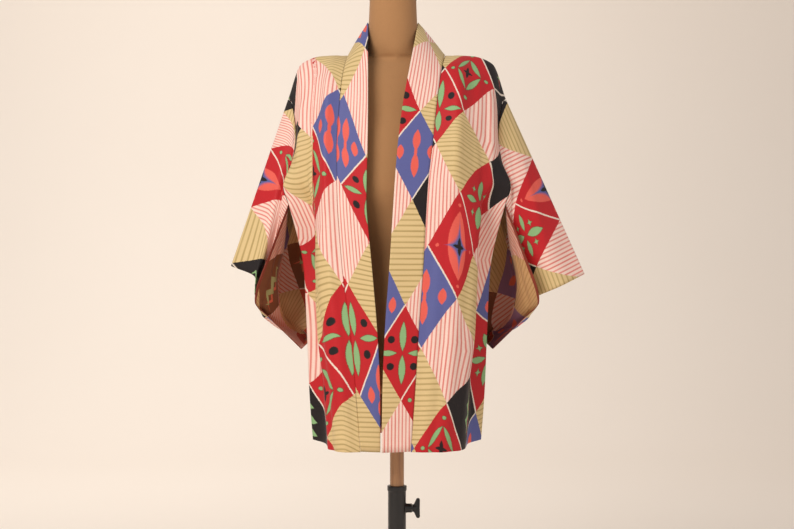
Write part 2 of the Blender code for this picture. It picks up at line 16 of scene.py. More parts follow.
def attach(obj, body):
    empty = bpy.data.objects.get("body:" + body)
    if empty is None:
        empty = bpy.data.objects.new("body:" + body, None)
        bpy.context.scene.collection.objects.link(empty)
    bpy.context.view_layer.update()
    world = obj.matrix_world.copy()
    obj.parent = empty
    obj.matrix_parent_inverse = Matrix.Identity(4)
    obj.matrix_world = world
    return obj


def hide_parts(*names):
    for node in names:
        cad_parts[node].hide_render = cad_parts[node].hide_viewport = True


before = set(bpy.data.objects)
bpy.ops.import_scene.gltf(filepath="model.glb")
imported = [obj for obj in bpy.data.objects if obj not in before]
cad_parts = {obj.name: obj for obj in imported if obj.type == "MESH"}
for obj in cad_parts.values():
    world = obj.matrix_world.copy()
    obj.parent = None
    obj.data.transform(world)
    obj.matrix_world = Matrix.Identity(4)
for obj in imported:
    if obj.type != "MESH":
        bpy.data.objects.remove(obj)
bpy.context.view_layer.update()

# Cloth
CLOTH = 0.0010
COLLAR_HALF = 0.0012
COLLAR_PLUMP = 0.0005
COLLAR_RIPPLE = 0.0003
SEAM_GAP = 0.0003
ARMHOLE_GAP = 0.0016
SIDE_SEAM_GAP = 0.0016
HEM_TURN = 0.022
HEM_BEND = 0.0009
HEM_HEIGHT = 0.597
SHOULDER_HEIGHT = 1.367
NECK_CENTRE_X = -0.008
NECK_CENTRE_Y = 0.004
NECKLINE_DEPTH = 0.078
NECKLINE_DROP = 0.015
COLLAR_TOP = 1.433
COLLAR_ROUND_NECK = 0.0505
COLLAR_BEHIND_NECK = 0.059
SLEEVE_DROP = 0.56
ARMHOLE_DROP = 0.235
OUTER_SEAM_HALF = 0.004
BOTTOM_FOLD_HALF = 0.002
# How far down the cloth the side seam's lower end is, how deep the gussets fold in at the hem, and
# how much less at each level above it
SIDE_SEAM_DROP = 0.823
GUSSET_FOLD = 0.022
GUSSET_FOLD_LOSS = 0.003
# How far from a body length's and a sleeve's edges the creases reach their full depth
PANEL_HELD = 0.022
SLEEVE_HELD = 0.02
# Unevenness of the silk, and the puckers beside its seams
BROAD_WAVE = 0.0012
FINE_WAVE = 0.00035
PUCKER = 0.0004
PUCKER_WIDTH = 0.018

# Dress form and stand
FORM_BOTTOM = 0.700
NECK_TOP = 1.478
CAP_THICKNESS = 0.016
FORM_SEGMENTS = 112
RING_STEP = 0.005
# The form is this much smaller than its solid between two heights, where the cloth lies on it
TUCK = 0.0020
TUCK_LOW = 0.94
TUCK_HIGH = 1.385
TUCK_FADE = 0.03
POLE_SOCKET_TOP = 0.7603
POLE_TOP = 0.759
POLE_RADIUS = 0.014
POLE_BOTTOM = 0.210
TUBE_RADIUS = 0.018
TUBE_TOP = 0.509
TUBE_BOTTOM = 0.004
CLAMP_HEIGHT = 0.463
BOSS_RADIUS = 0.009
BOSS_REACH = 0.030
SCREW_RADIUS = 0.004
THREAD_DEPTH = 0.0006
THREAD_PITCH = 0.0014
SCREW_HEAD = 0.0105
WING_HEIGHT = 0.040
WING_THICKNESS = 0.0088
WING_ROUNDING = 0.0020
BASE_RADIUS = 0.160
BASE_EDGE = 0.010
BASE_CROWN = 0.022
BASE_HUB_RADIUS = 0.034
BASE_HUB_TOP = 0.030
FIT = 0.0003

# How finely the cloth is divided
STEPS_PER_ROW = 7
NECKLINE_STEPS = 24
ACROSS_PANEL = 56
ACROSS_SLEEVE = 56
FREE_STEPS = 48
ACROSS_COLLAR = 14
ROUND_NECK_STEPS = 48
ACROSS_GUSSET = 12
FREE_EDGE_COLUMNS = 3

# One row for each level of the front, from the hem up to the shoulder ridge, and of the back, from
# there down to its hem. Widths are measured outwards from the stand's axis. The crest is the panel's
# outermost fold, the hollow is the groove beside it, and the side is the side seam, or the armhole
# seam above the armpit. The last three values say how far each of these lies below the level.
Level = namedtuple("Level", "height middle_y crest_x crest_y hollow_x hollow_y side_x side_y crest_drop "
                            "hollow_drop side_drop", defaults=(0.0, 0.0, 0.0))
FRONT = [Level(*row) for row in (
    (HEM_HEIGHT, -0.147, 0.128, -0.112, 0.139, -0.060, 0.166, -0.030, 0.000, -0.004, -0.008),
    (0.700, -0.147, 0.135, -0.110, 0.143, -0.056, 0.173, -0.030),
    (0.820, -0.146, 0.150, -0.102, 0.143, -0.052, 0.178, -0.030),
    (0.940, -0.143, 0.155, -0.100, 0.145, -0.050, 0.184, -0.032),
    (1.068, -0.138, 0.160, -0.098, 0.166, -0.060, 0.212, -0.058),
    (1.115, -0.133, 0.162, -0.094, 0.184, -0.072, 0.222, -0.060, 0.0, 0.0, 0.010),
    (1.170, -0.126, 0.162, -0.088, 0.190, -0.070, 0.205, -0.048, 0.0, 0.0, 0.015),
    (1.240, -0.110, 0.160, -0.078, 0.190, -0.060, 0.199, -0.032, 0.0, 0.010, 0.032),
    (1.305, -0.085, 0.156, -0.056, 0.190, -0.040, 0.204, -0.024, 0.0, 0.012, 0.053),
    (1.348, -0.045, 0.152, -0.027, 0.190, -0.020, 0.211, -0.013, 0.001, 0.014, 0.072),
    (SHOULDER_HEIGHT, 0.000, 0.150, 0.000, 0.190, 0.000, 0.217, 0.000, 0.001, 0.016, 0.086),
)]
BACK = [Level(*row) for row in (
    (1.350, 0.078, 0.140, 0.040, 0.190, 0.020, 0.211, 0.014, 0.002, 0.014, 0.075),
    (1.300, 0.100, 0.144, 0.078, 0.190, 0.044, 0.204, 0.027, 0.0, 0.012, 0.050),
    (1.240, 0.112, 0.148, 0.096, 0.190, 0.064, 0.200, 0.040, 0.0, 0.008, 0.030),
    (1.170, 0.120, 0.150, 0.106, 0.186, 0.080, 0.202, 0.058, 0.0, 0.0, 0.015),
    (1.115, 0.124, 0.152, 0.110, 0.180, 0.084, 0.206, 0.070, 0.0, 0.0, 0.010),
    (1.068, 0.126, 0.154, 0.112, 0.172, 0.080, 0.204, 0.068),
    (0.940, 0.128, 0.154, 0.110, 0.150, 0.062, 0.184, 0.040),
    (0.820, 0.130, 0.152, 0.108, 0.145, 0.058, 0.178, 0.034),
    (0.700, 0.132, 0.144, 0.110, 0.143, 0.060, 0.173, 0.032),
    (HEM_HEIGHT, 0.134, 0.136, 0.114, 0.140, 0.064, 0.166, 0.032, 0.0, -0.004, -0.008),
)]
ARMPIT_ROW = 4
GUSSET_TOP_ROW = 3
MIDDLE_SHARE = 0.45
MIDDLE_BULGE = 0.010

# The collar's two edges on each front, a row for each level of FRONT. Both are measured outwards
# on their own side, so a negative edge lies past the middle. The free edge is lifted near the neck.
CollarRow = namedtuple("CollarRow", "seam_x edge_x edge_y edge_lift", defaults=(0.0,))
COLLAR = {
    -1: [CollarRow(*row) for row in (
        (0.069, 0.0325, -0.149, -0.001),
        (0.077, 0.0325, -0.151),
        (0.088, 0.0380, -0.151),
        (0.103, 0.0480, -0.148),
        (0.1126, 0.0590, -0.143),
        (0.1140, 0.0585, -0.139),
        (0.1150, 0.0570, -0.132, 0.001),
        (0.1120, 0.0565, -0.114, 0.010),
        (0.1070, 0.0570, -0.084, 0.030),
        (0.1010, 0.0580, -0.036, 0.052),
        (0.0976, 0.0585, 0.004, 0.066),
    )],
    1: [CollarRow(*row) for row in (
        (0.0260, -0.0275, -0.156, -0.001),
        (0.0335, -0.0265, -0.157),
        (0.0410, -0.0220, -0.156),
        (0.0495, -0.0137, -0.151),
        (0.0565, -0.0055, -0.145),
        (0.0600, -0.0025, -0.140),
        (0.0670, 0.0020, -0.132, 0.001),
        (0.0745, 0.0110, -0.114, 0.010),
        (0.0830, 0.0260, -0.084, 0.030),
        (0.0910, 0.0375, -0.036, 0.052),
        (0.0960, 0.0425, 0.004, 0.066),
    )],
}

# The sleeve's free inner edge below the armhole, by its drop down the cloth from the ridge fold.
EdgePoint = namedtuple("EdgePoint", "drop x y z")
INNER_FRONT = [EdgePoint(*row) for row in (
    (0.320, 0.243, -0.068, 0.985),
    (0.420, 0.275, -0.060, 0.902),
    (0.460, 0.280, -0.040, 0.876),
    (0.500, 0.256, -0.010, 0.846),
    (SLEEVE_DROP, 0.193, 0.038, 0.780),
)]
INNER_BACK = [EdgePoint(*row) for row in (
    (0.500, 0.180, 0.066, 0.798),
    (0.420, 0.182, 0.100, 0.870),
    (0.320, 0.188, 0.098, 0.980),
)]
# The sleeve's outer edge: the wrist opening, then the sewn outer side below it. The first rows are
# measured from the wrist's top corner, the others from the stand's axis.
WRIST_CORNER = {-1: Vector((0.331, -0.005, 0.947)), 1: Vector((0.374, -0.005, 0.931))}
WRIST_FRONT = EdgePoint(0.070, -0.052, -0.034, -0.024)
WRIST_BACK = EdgePoint(0.070, -0.047, 0.040, -0.022)
OUTER_SIDE = [EdgePoint(*row) for row in (
    (0.150, 0.284, -0.012, 0.889),
    (ARMHOLE_DROP, 0.262, 0.048, 0.875),
    (0.340, 0.236, 0.070, 0.848),
    (0.450, 0.208, 0.092, 0.820),
    (SLEEVE_DROP, 0.186, 0.108, 0.795),
)]
OUTER_BACK = EdgePoint(0.150, 0.300, 0.076, 0.897)
NEAR_WRIST_SHARE = 0.35
SLEEVE_BELLY = 0.012
BELLY_SHARE = 0.08

# The dress form, a row for each height: half its width, and its depth to the front and the back.
# Pointedness is 1 for an oval, less for a squarer outline and 2 for a straight-sided diamond.
FormRow = namedtuple("FormRow", "height half_width front back centre_x pointedness")
FORM = [FormRow(*row) for row in (
    (FORM_BOTTOM, 0.118, 0.090, 0.088, 0.0, 0.92),
    (FORM_BOTTOM + 0.010, 0.132, 0.104, 0.100, 0.0, 0.92),
    (0.770, 0.140, 0.114, 0.106, 0.0, 0.92),
    (0.850, 0.134, 0.106, 0.100, 0.0, 0.92),
    (0.950, 0.115, 0.090, 0.085, 0.0, 0.92),
    (1.030, 0.130, 0.104, 0.092, 0.0, 0.92),
    (1.100, 0.148, 0.121, 0.100, 0.0, 0.92),
    (1.180, 0.158, 0.110, 0.110, 0.0, 0.92),
    (1.240, 0.168, 0.090, 0.1108, 0.0, 1.0),
    (1.270, 0.172, 0.082, 0.102, 0.0, 1.0),
    (1.310, 0.178, 0.068, 0.074, 0.0, 0.95),
    (1.338, 0.174, 0.052, 0.055, 0.0, 1.0),
    (1.352, 0.160, 0.043, 0.046, 0.0, 1.5),
    (1.3600, 0.145, 0.043, 0.046, 0.0, 2.0),
    (1.3630, 0.066, 0.044, 0.046, -0.002, 1.2),
    (1.374, 0.0555, 0.046, 0.048, -0.006, 1.1),
    (1.390, 0.0515, 0.046, 0.048, NECK_CENTRE_X, 1.0),
    (1.430, 0.0485, 0.047, 0.048, NECK_CENTRE_X, 1.0),
    (NECK_TOP, 0.0465, 0.046, 0.046, NECK_CENTRE_X, 1.0),
)]

# Soft creases: where each starts and ends on the cloth as (u, v), how wide it is
# and how far it lifts the cloth, or sinks it where the lift is below 0.
Crease = namedtuple("Crease", "start end width lift")
PANEL_CREASES = {
    -1: [Crease(*row) for row in (
        ((0.030, 0.10), (0.020, 0.30), 0.014, 0.0020),
        ((0.062, 0.08), (0.085, 0.33), 0.013, 0.0030),
        ((0.095, 0.12), (0.118, 0.30), 0.010, 0.0028),
        ((0.078, 0.18), (0.100, 0.36), 0.008, -0.0020),
        ((0.050, 0.42), (0.044, 0.84), 0.016, 0.0034),
        ((0.024, 0.50), (0.018, 0.84), 0.009, 0.0018),
        ((0.085, 0.48), (0.080, 0.84), 0.011, 0.0026),
        ((0.068, 0.55), (0.064, 0.84), 0.008, -0.0022),
        ((0.110, 0.36), (0.070, 0.46), 0.009, 0.0022),
        ((0.075, -0.08), (0.120, -0.34), 0.015, 0.0034),
        ((0.150, -0.10), (0.165, -0.36), 0.011, 0.0030),
        ((0.035, -0.42), (0.030, -0.84), 0.013, 0.0030),
        ((0.085, -0.48), (0.080, -0.84), 0.016, 0.0036),
        ((0.128, -0.44), (0.120, -0.84), 0.010, 0.0026),
    )],
    1: [Crease(*row) for row in (
        ((0.040, 0.12), (0.052, 0.30), 0.012, 0.0022),
        ((0.085, 0.07), (0.110, 0.26), 0.014, 0.0034),
        ((0.120, 0.10), (0.146, 0.30), 0.010, 0.0030),
        ((0.100, 0.20), (0.136, 0.34), 0.008, -0.0022),
        ((0.150, 0.26), (0.100, 0.42), 0.010, 0.0028),
        ((0.135, 0.36), (0.090, 0.47), 0.007, -0.0018),
        ((0.030, 0.48), (0.024, 0.84), 0.012, 0.0024),
        ((0.070, 0.44), (0.062, 0.84), 0.016, 0.0036),
        ((0.048, 0.58), (0.044, 0.84), 0.008, -0.0020),
        ((0.106, 0.50), (0.096, 0.84), 0.010, 0.0028),
        ((0.070, -0.09), (0.110, -0.32), 0.014, 0.0034),
        ((0.145, -0.11), (0.170, -0.35), 0.011, 0.0030),
        ((0.025, -0.46), (0.022, -0.84), 0.012, 0.0028),
        ((0.072, -0.43), (0.066, -0.84), 0.016, 0.0036),
        ((0.118, -0.50), (0.112, -0.84), 0.010, 0.0028),
    )],
}
SLEEVE_CREASES = {
    -1: [Crease(*row) for row in (
        ((0.02, 0.08), (0.15, 0.16), 0.010, 0.0022),
        ((0.03, 0.17), (0.13, 0.22), 0.009, 0.0026),
        ((0.10, 0.05), (0.25, 0.09), 0.012, 0.0018),
        ((0.05, 0.28), (0.04, 0.50), 0.010, 0.0026),
        ((0.02, -0.08), (0.14, -0.16), 0.011, 0.0026),
        ((0.05, -0.20), (0.13, -0.30), 0.010, 0.0028),
        ((0.14, -0.06), (0.26, -0.10), 0.012, 0.0020),
    )],
    1: [Crease(*row) for row in (
        ((0.02, 0.07), (0.16, 0.14), 0.011, 0.0026),
        ((0.02, 0.14), (0.14, 0.20), 0.009, 0.0030),
        ((0.12, 0.04), (0.28, 0.08), 0.013, 0.0018),
        ((0.05, 0.28), (0.05, 0.50), 0.010, 0.0024),
        ((0.02, -0.09), (0.15, -0.17), 0.011, 0.0026),
        ((0.05, -0.21), (0.14, -0.31), 0.010, 0.0028),
        ((0.14, -0.05), (0.28, -0.09), 0.012, 0.0020),
    )],
}


def counted(first, *places):
    """Pairs of a place and a number there, one more at each place."""
    return [(place, first + k) for k, place in enumerate(places)]


# Where the print falls on a piece. Columns: places down the piece, each with pairs of a place across
# it and the lozenge column there. Rows: pairs of a place down and the half row there. Climbs: pairs
# of a place down and how steeply the rows climb across, level unless given. The collar's left half is
# measured from its free edge, the rest from the seam. The gussets go on with the front's print.
Fall = namedtuple("Fall", "columns rows climbs", defaults=(((0.0, 0.0), (1.0, 0.0)),))

PLEATED = ((0.004, 0), (0.068, 1), (0.070, 1.65), (0.095, 2), (0.16, 3))
OPENED = counted(0, 0.004, 0.080, 0.175)
SLEEVE_ROWS = counted(0, 0.0, 0.122)
FALLS = {
    "front_right": Fall(
        ((-0.10, counted(0, 0.004, 0.060)), (0.0, PLEATED), (0.38, PLEATED), (0.50, OPENED)),
        counted(1, 0.130, 0.222, 0.315, 0.411, 0.508, 0.612, 0.721, 0.810),
        ((-0.1, 0.0), (0.0, 0.4), (0.22, 0.67), (0.41, 0.5), (0.58, 0.05), (0.66, 0.30), (0.80, 0.45))),
    "front_left": Fall(
        ((0.0, counted(0, 0.006, 0.056, 0.120)), (0.20, counted(0, 0.006, 0.053, 0.142, 0.20)),
         (0.43, counted(0, 0.006, 0.067, 0.100, 0.16)), (0.62, counted(0, 0.006, 0.067, 0.160, 0.23)),
         (0.80, counted(0, 0.006, 0.056, 0.112, 0.17))),
        counted(1, 0.074, 0.172, 0.240, 0.332, 0.437, 0.534, 0.631, 0.733, 0.82)),
    "collar_right": Fall(
        ((0.0, counted(0, 0.0075, 0.056)),),
        counted(1, 0.140, 0.235, 0.316, 0.411, 0.508, 0.612, 0.722, 0.810),
        ((0.0, -0.4), (0.22, -0.6), (0.41, -0.4), (0.60, 0.0))),
    "collar_left": Fall(
        ((0.0, counted(0, 0.034, 0.0875)),),
        counted(1, 0.180, 0.257, 0.349, 0.450, 0.550, 0.640, 0.729, 0.820)),
    "sleeve_right": Fall(((0.0, ((0.0256, -1), (0.104, 1), (0.228, 3), (0.345, 5))),), SLEEVE_ROWS),
    "sleeve_left": Fall(((0.0, ((0.005, -1), (0.128, 1), (0.262, 3), (0.390, 5))),), SLEEVE_ROWS),
    "gusset_right": Fall(((0.0, ((0.0, 1.16), (0.050, 2))),), counted(5, 0.480, 0.580, 0.690, 0.780)),
    "gusset_left": Fall(((0.0, ((0.0, 2.36), (0.045, 3))),),
                        counted(5, 0.437, 0.534, 0.631, 0.733, 0.82)),
}
# The pleat down the right body length: its place across, and pairs of a place down and how far the
# print beyond it hangs lower, and how steeply the rows climb beyond it
PLEAT_ACROSS = 0.069
PLEAT_DROPS = ((-0.05, 0.0), (0.03, 0.085), (0.30, 0.085), (0.56, 0.0))
PLEAT_CLIMBS = ((0.34, 0.0), (0.60, 0.15))
# Half a lozenge across and along the cloth, as woven
HALF_ACROSS = 0.0545
HALF_ALONG = 0.092


def smooth_values(values, t):
    """A curve through values at 0, 1, 2 ... that never swings past them, read at t."""
    last = len(values) - 1
    i = min(max(int(math.floor(t)), 0), last - 1)
    share = min(max(t - i, 0.0), 1.0)
    slopes = []
    for j in (i, i + 1):
        before = values[j] - values[j - 1] if j > 0 else values[j + 1] - values[j]
        after = values[j + 1] - values[j] if j < last else before
        same_way = before * after > 0
        slopes.append(2 * before * after / (before + after) if same_way else 0.0)
    a, b = values[i], values[i + 1]
    square, cube = share * share, share ** 3
    return (a * (2 * cube - 3 * square + 1) + slopes[0] * (cube - 2 * square + share)
            + b * (3 * square - 2 * cube) + slopes[1] * (cube - square))


def smooth_point(points, t):
    return Vector([smooth_values([p[axis] for p in points], t) for axis in range(3)])


def panel_columns(level, seam_x):
    """The five control points across a panel at one level, from its inner edge to its side."""
    middle_x = seam_x + (level.crest_x - seam_x) * MIDDLE_SHARE
    outward = math.copysign(1.0, level.middle_y) if abs(level.middle_y) > 0.01 else 0.0
    bulge = MIDDLE_BULGE * outward * min(1.0, abs(level.middle_y) / 0.1)
    middle_y = level.middle_y * 0.93 + level.crest_y * 0.07 + bulge * 0.5
    return [
        Vector((seam_x, level.middle_y, level.height)),
        Vector((middle_x, middle_y, level.height)),
        Vector((level.crest_x, level.crest_y, level.height - level.crest_drop)),
        Vector((level.hollow_x, level.hollow_y, level.height - level.hollow_drop)),
        Vector((level.side_x, level.side_y, level.height - level.side_drop)),
    ]


def neckline_point(turn, side):
    """The back neckline, from the shoulder (turn 0) to the centre back (turn 1)."""
    angle = turn * math.pi / 2
    return Vector((
        COLLAR[side][-1].seam_x * math.cos(angle),
        NECKLINE_DEPTH * math.sin(angle),
        SHOULDER_HEIGHT - NECKLINE_DROP * math.sin(angle),
    ))


def panel_rows(side):
    """Control rows of a body length, from the front hem over the shoulder to the back hem."""
    front = [panel_columns(level, row.seam_x) for level, row in zip(FRONT, COLLAR[side])]
    back = [panel_columns(level, SEAM_GAP / 2) for level in BACK]
    return front + back


def panel_line(rows, side, t):
    """The five control points of a body length at t, in control rows from the front hem."""
    ridge = len(FRONT) - 1
    columns = [smooth_point([row[c] for row in rows], t) for c in range(1, 5)]
    if ridge < t < ridge + 1:
        inner = neckline_point(t - ridge, side)
        inner.x = max(inner.x, SEAM_GAP / 2)
    elif t <= ridge:
        inner = smooth_point([row[0] for row in rows[:ridge + 1]], t)
    else:
        inner = smooth_point([row[0] for row in rows[ridge + 1:]], t - ridge - 1)
    return [inner, *columns]


def panel_point(rows, side, t, across):
    return smooth_point(panel_line(rows, side, t), across * 4)


def row_steps(first, last):
    """Places between two control rows, closer together along the back neckline."""
    ridge = len(FRONT) - 1
    steps = [float(first)]
    for row in range(first, last):
        parts = NECKLINE_STEPS if row == ridge else STEPS_PER_ROW
        steps += [row + k / parts for k in range(1, parts + 1)]
    return steps


def mirrored(point, side):
    return Vector((point.x * side, point.y, point.z))


def lengths_along(points, axis):
    """How far each point of a grid is from the grid's first row or column, along the cloth."""
    gaps = np.linalg.norm(np.diff(points, axis=axis), axis=2)
    start = np.zeros_like(gaps[:1] if axis == 0 else gaps[:, :1])
    return np.concatenate([start, np.cumsum(gaps, axis=axis)], axis=axis)


def outward_ways(points):
    """The unit vector square to the cloth at each point of a grid."""
    ways = np.cross(np.gradient(points, axis=1), np.gradient(points, axis=0))
    return ways / np.maximum(np.linalg.norm(ways, axis=2, keepdims=True), 1e-9)


def by_table(table, at):
    """The table's second values at places among its first ones, straight on past both ends."""
    places, values = np.array(table, float).T
    low = values[0] + (at - places[0]) * (values[1] - values[0]) / (places[1] - places[0])
    high = values[-1] + (at - places[-1]) * (values[-1] - values[-2]) / (places[-1] - places[-2])
    within = np.interp(at, places, values)
    return np.where(at < places[0], low, np.where(at > places[-1], high, within))


def columns_across(levels, u, v):
    """The lozenge column at (u, v), between the two nearest levels down the piece."""
    found = by_table(levels[0][1], u)
    for (high, _), (low, table) in zip(levels, levels[1:]):
        share = np.clip((v - high) / (low - high), 0.0, 1.0)
        found = found * (1 - share) + by_table(table, u) * share
    return found


def woven_place(piece, u, v):
    """The print's own coordinates, in metres of cloth as woven, at (u, v) on a piece."""
    fall = FALLS[piece]
    climb = np.interp(v, *np.array(fall.climbs, float).T)
    rise = climb * u
    if piece == "front_right":
        beyond = u - PLEAT_ACROSS
        pleated = (climb * PLEAT_ACROSS + np.interp(v, *np.array(PLEAT_CLIMBS).T) * beyond
                   - np.interp(v, *np.array(PLEAT_DROPS).T))
        rise = np.where(beyond > 0, pleated, rise)
    return columns_across(fall.columns, u, v) * HALF_ACROSS, by_table(fall.rows, v + rise) * HALF_ALONG


def crease_lift(creases, u, v):
    """How far the creases lift the cloth at each (u, v)."""
    lift = np.zeros_like(u)
    for crease in creases:
        along = np.subtract(crease.end, crease.start)
        share = ((u - crease.start[0]) * along[0] + (v - crease.start[1]) * along[1]) / (along @ along)
        share = np.clip(share, 0.0, 1.0)
        far = np.hypot(u - crease.start[0] - share * along[0], v - crease.start[1] - share * along[1])
        lift += crease.lift * np.exp(-(far / crease.width) ** 2)
    return lift


def soft_unevenness(u, v, seed):
    """The slight unevenness of hanging silk: broad waves, and finer puckers."""
    lift = np.empty_like(u)
    for index, across in np.ndenumerate(u):
        down = v[index]
        broad = noise.noise((across * 14, down * 7, seed))
        fine = noise.noise((across * 60, down * 34, seed + 5.0))
        lift[index] = BROAD_WAVE * broad + FINE_WAVE * fine
    return lift


def eased(value):
    value = np.clip(value, 0.0, 1.0)
    return value * value * (3 - 2 * value)


def seam_pucker(distance, along, seed):
    """Fine puckers beside a seam, fading out over their width."""
    waves = np.sin(along * 420 + seed) * np.sin(along * 157 + 2 * seed)
    return PUCKER * waves * eased(distance / 0.003) * eased(1 - distance / PUCKER_WIDTH)


def mesh_object(name, points, corners, materials):
    """A mesh piece; corners lists its faces as (vertex, u, v) triples."""
    mesh = bpy.data.meshes.new(name)
    mesh.from_pydata([tuple(p) for p in points], [], [[c[0] for c in face] for face in corners])
    layer = mesh.uv_layers.new(name="cloth")
    flat = [value for face in corners for _, u, v in face for value in (u, v)]
    layer.data.foreach_set("uv", flat)
    for material in materials:
        mesh.materials.append(material)
    mesh.shade_smooth()
    mesh.update()
    made = bpy.data.objects.new(name, mesh)
    bpy.context.scene.collection.objects.link(made)
    return made


def settled(made):
    """The object with its modifiers applied."""
    bpy.context.view_layer.update()
    evaluated = made.evaluated_get(bpy.context.evaluated_depsgraph_get())
    mesh = bpy.data.meshes.new_from_object(evaluated)
    mesh.name = made.name
    made.modifiers.clear()
    made.data = mesh
    return made


def walled(made):
    """Gives a sheet its thickness. Each inner face takes the material after its outer face's."""
    wall = made.modifiers.new("Wall", "SOLIDIFY")
    wall.thickness = CLOTH
    wall.offset = 0.0
    wall.material_offset = 1
    return settled(made)


def grid_corners(rows, columns, u, v, side):
    """A grid's faces with their cloth coordinates, facing out on either side of the jacket."""
    corners = []
    for i in range(rows - 1):
        for j in range(columns - 1):
            ring = [(i, j), (i, j + 1), (i + 1, j + 1), (i + 1, j)]
            if side < 0:
                ring.reverse()
            corners.append([(a * columns + b, u[a, b], v[a, b]) for a, b in ring])
    return corners


def on_side(points, side):
    """A grid's points as one list, mirrored where the side is the wearer's right."""
    return [mirrored(Vector(p), side) for p in points.reshape(-1, 3)]


def walled_sheet(name, points, u, v, side, materials):
    """A grid of points as a piece of cloth with its thickness."""
    corners = grid_corners(len(points), len(points[0]), u, v, side)
    return walled(mesh_object(name, on_side(points, side), corners, materials))


def turned_hem(points, ways, u, v, first):
    """Rows that turn the cloth's hem in at its first or last row, with their u and v."""
    order = slice(None) if first else slice(None, None, -1)
    points, ways, u, v = points[order], ways[order], u[order], v[order]
    down = points[0] - points[1]
    down /= np.linalg.norm(down, axis=1, keepdims=True)
    sign = math.copysign(1.0, v[0, 0])
    rows, us, vs = [], [], []
    for angle in (45, 90, 135):
        turn = math.radians(angle)
        rows.append(points[0] - ways[0] * HEM_BEND * (1 - math.cos(turn))
                    + down * HEM_BEND * math.sin(turn))
        us.append(u[0])
        vs.append(v[0] + sign * HEM_BEND * turn)
    up = 0
    while abs(v[0, 0] - v[up, 0]) < HEM_TURN:
        rows.append(points[up] - ways[up] * 2 * HEM_BEND)
        us.append(u[up])
        vs.append(v[0] + (v[0] - v[up]))
        up += 1
    if first:
        rows, us, vs = rows[::-1], us[::-1], vs[::-1]
    return np.array(rows), np.array(us), np.array(vs)


def make_body_length(name, side, materials):
    """A panel from the front hem over the shoulder to the back hem, with its hems turned in."""
    rows = panel_rows(side)
    steps = row_steps(0, len(rows) - 1)
    lines = [panel_line(rows, side, t) for t in steps]
    points = np.array([[smooth_point(line, 4 * c / ACROSS_PANEL) for c in range(ACROSS_PANEL + 1)]
                       for line in lines])
    ridge = steps.index(float(len(FRONT) - 1))
    inner_far = lengths_along(points, 1)
    outer_far = inner_far[:, -1:] - inner_far
    u = inner_far.copy()
    shoulder_seam = points[ridge, 0, 0]
    u[ridge:] += points[ridge:, :1, 0] - shoulder_seam
    drop = lengths_along(points, 0)
    v = drop[ridge] - drop
    held = eased(inner_far / PANEL_HELD) * eased(outer_far / PANEL_HELD) * eased(np.abs(v) / 0.05 - 0.2)
    lift = (crease_lift(PANEL_CREASES[side], inner_far, v) + soft_unevenness(u, v, 2.0 + side)) * held
    lift += seam_pucker(inner_far, v, 1.0) + seam_pucker(outer_far, v, 2.0)
    points = points + outward_ways(points) * lift[..., None]
    ways = outward_ways(points)
    low = turned_hem(points, ways, u, v, True)
    high = turned_hem(points, ways, u, v, False)
    ridge_drop = SHOULDER_HEIGHT - points[ridge, :, 2]
    points = np.concatenate([low[0], points, high[0]])
    u = np.concatenate([low[1], u, high[1]])
    v = np.concatenate([low[2], v, high[2]])
    v = v + np.sign(v) * ridge_drop * eased(np.abs(v) / 0.16)
    u, v = woven_place("front_left" if side > 0 else "front_right", u, v)
    return walled_sheet(name, points, u, v, side, materials)


def make_gusset(name, side, materials):
    """The narrow side panel between the front's and the back's side seams, folded inwards."""
    rows = panel_rows(side)
    last = len(rows) - 1
    lines = []
    for t in row_steps(0, GUSSET_TOP_ROW):
        front, back = panel_point(rows, side, t, 1.0), panel_point(rows, side, last - t, 1.0)
        front.y += SIDE_SEAM_GAP
        back.y -= SIDE_SEAM_GAP
        front.z = back.z = (front.z + back.z) / 2
        fold = GUSSET_FOLD - GUSSET_FOLD_LOSS * t
        line = []
        for k in range(ACROSS_GUSSET + 1):
            share = k / ACROSS_GUSSET
            point = front.lerp(back, share)
            point.x -= fold * math.sin(share * math.pi)
            line.append(point)
        lines.append(line)
    points = np.array(lines)
    u = lengths_along(points, 1)
    up = lengths_along(points, 0)
    u, v = woven_place("gusset_left" if side > 0 else "gusset_right", u, SIDE_SEAM_DROP - up)
    return walled_sheet(name, points, u, v, side, materials)


def edge_vector(point):
    return Vector((point.x, point.y, point.z))


def by_drop(stations, drop):
    """The point at a drop down the cloth, on a smooth curve through stations of (drop, point)."""
    drops = [s[0] for s in stations]
    for i in range(len(drops) - 1):
        if drop <= drops[i + 1] or i == len(drops) - 2:
            share = (drop - drops[i]) / (drops[i + 1] - drops[i])
            return smooth_point([s[1] for s in stations], i + min(max(share, 0.0), 1.0))


def outer_stations(side, facing):
    """Stations down the outer edge on the front (facing -1) or the back (facing 1)."""
    corner = WRIST_CORNER[side]
    near, far = (WRIST_FRONT, OUTER_SIDE[0]) if facing < 0 else (WRIST_BACK, OUTER_BACK)
    stations = [(0.0, corner), (near.drop, corner + edge_vector(near)), (far.drop, edge_vector(far))]
    if facing > 0:
        stations[2][1].x -= (WRIST_CORNER[1].x - corner.x) * NEAR_WRIST_SHARE
    return stations + [(p.drop, edge_vector(p)) for p in OUTER_SIDE[1:]]


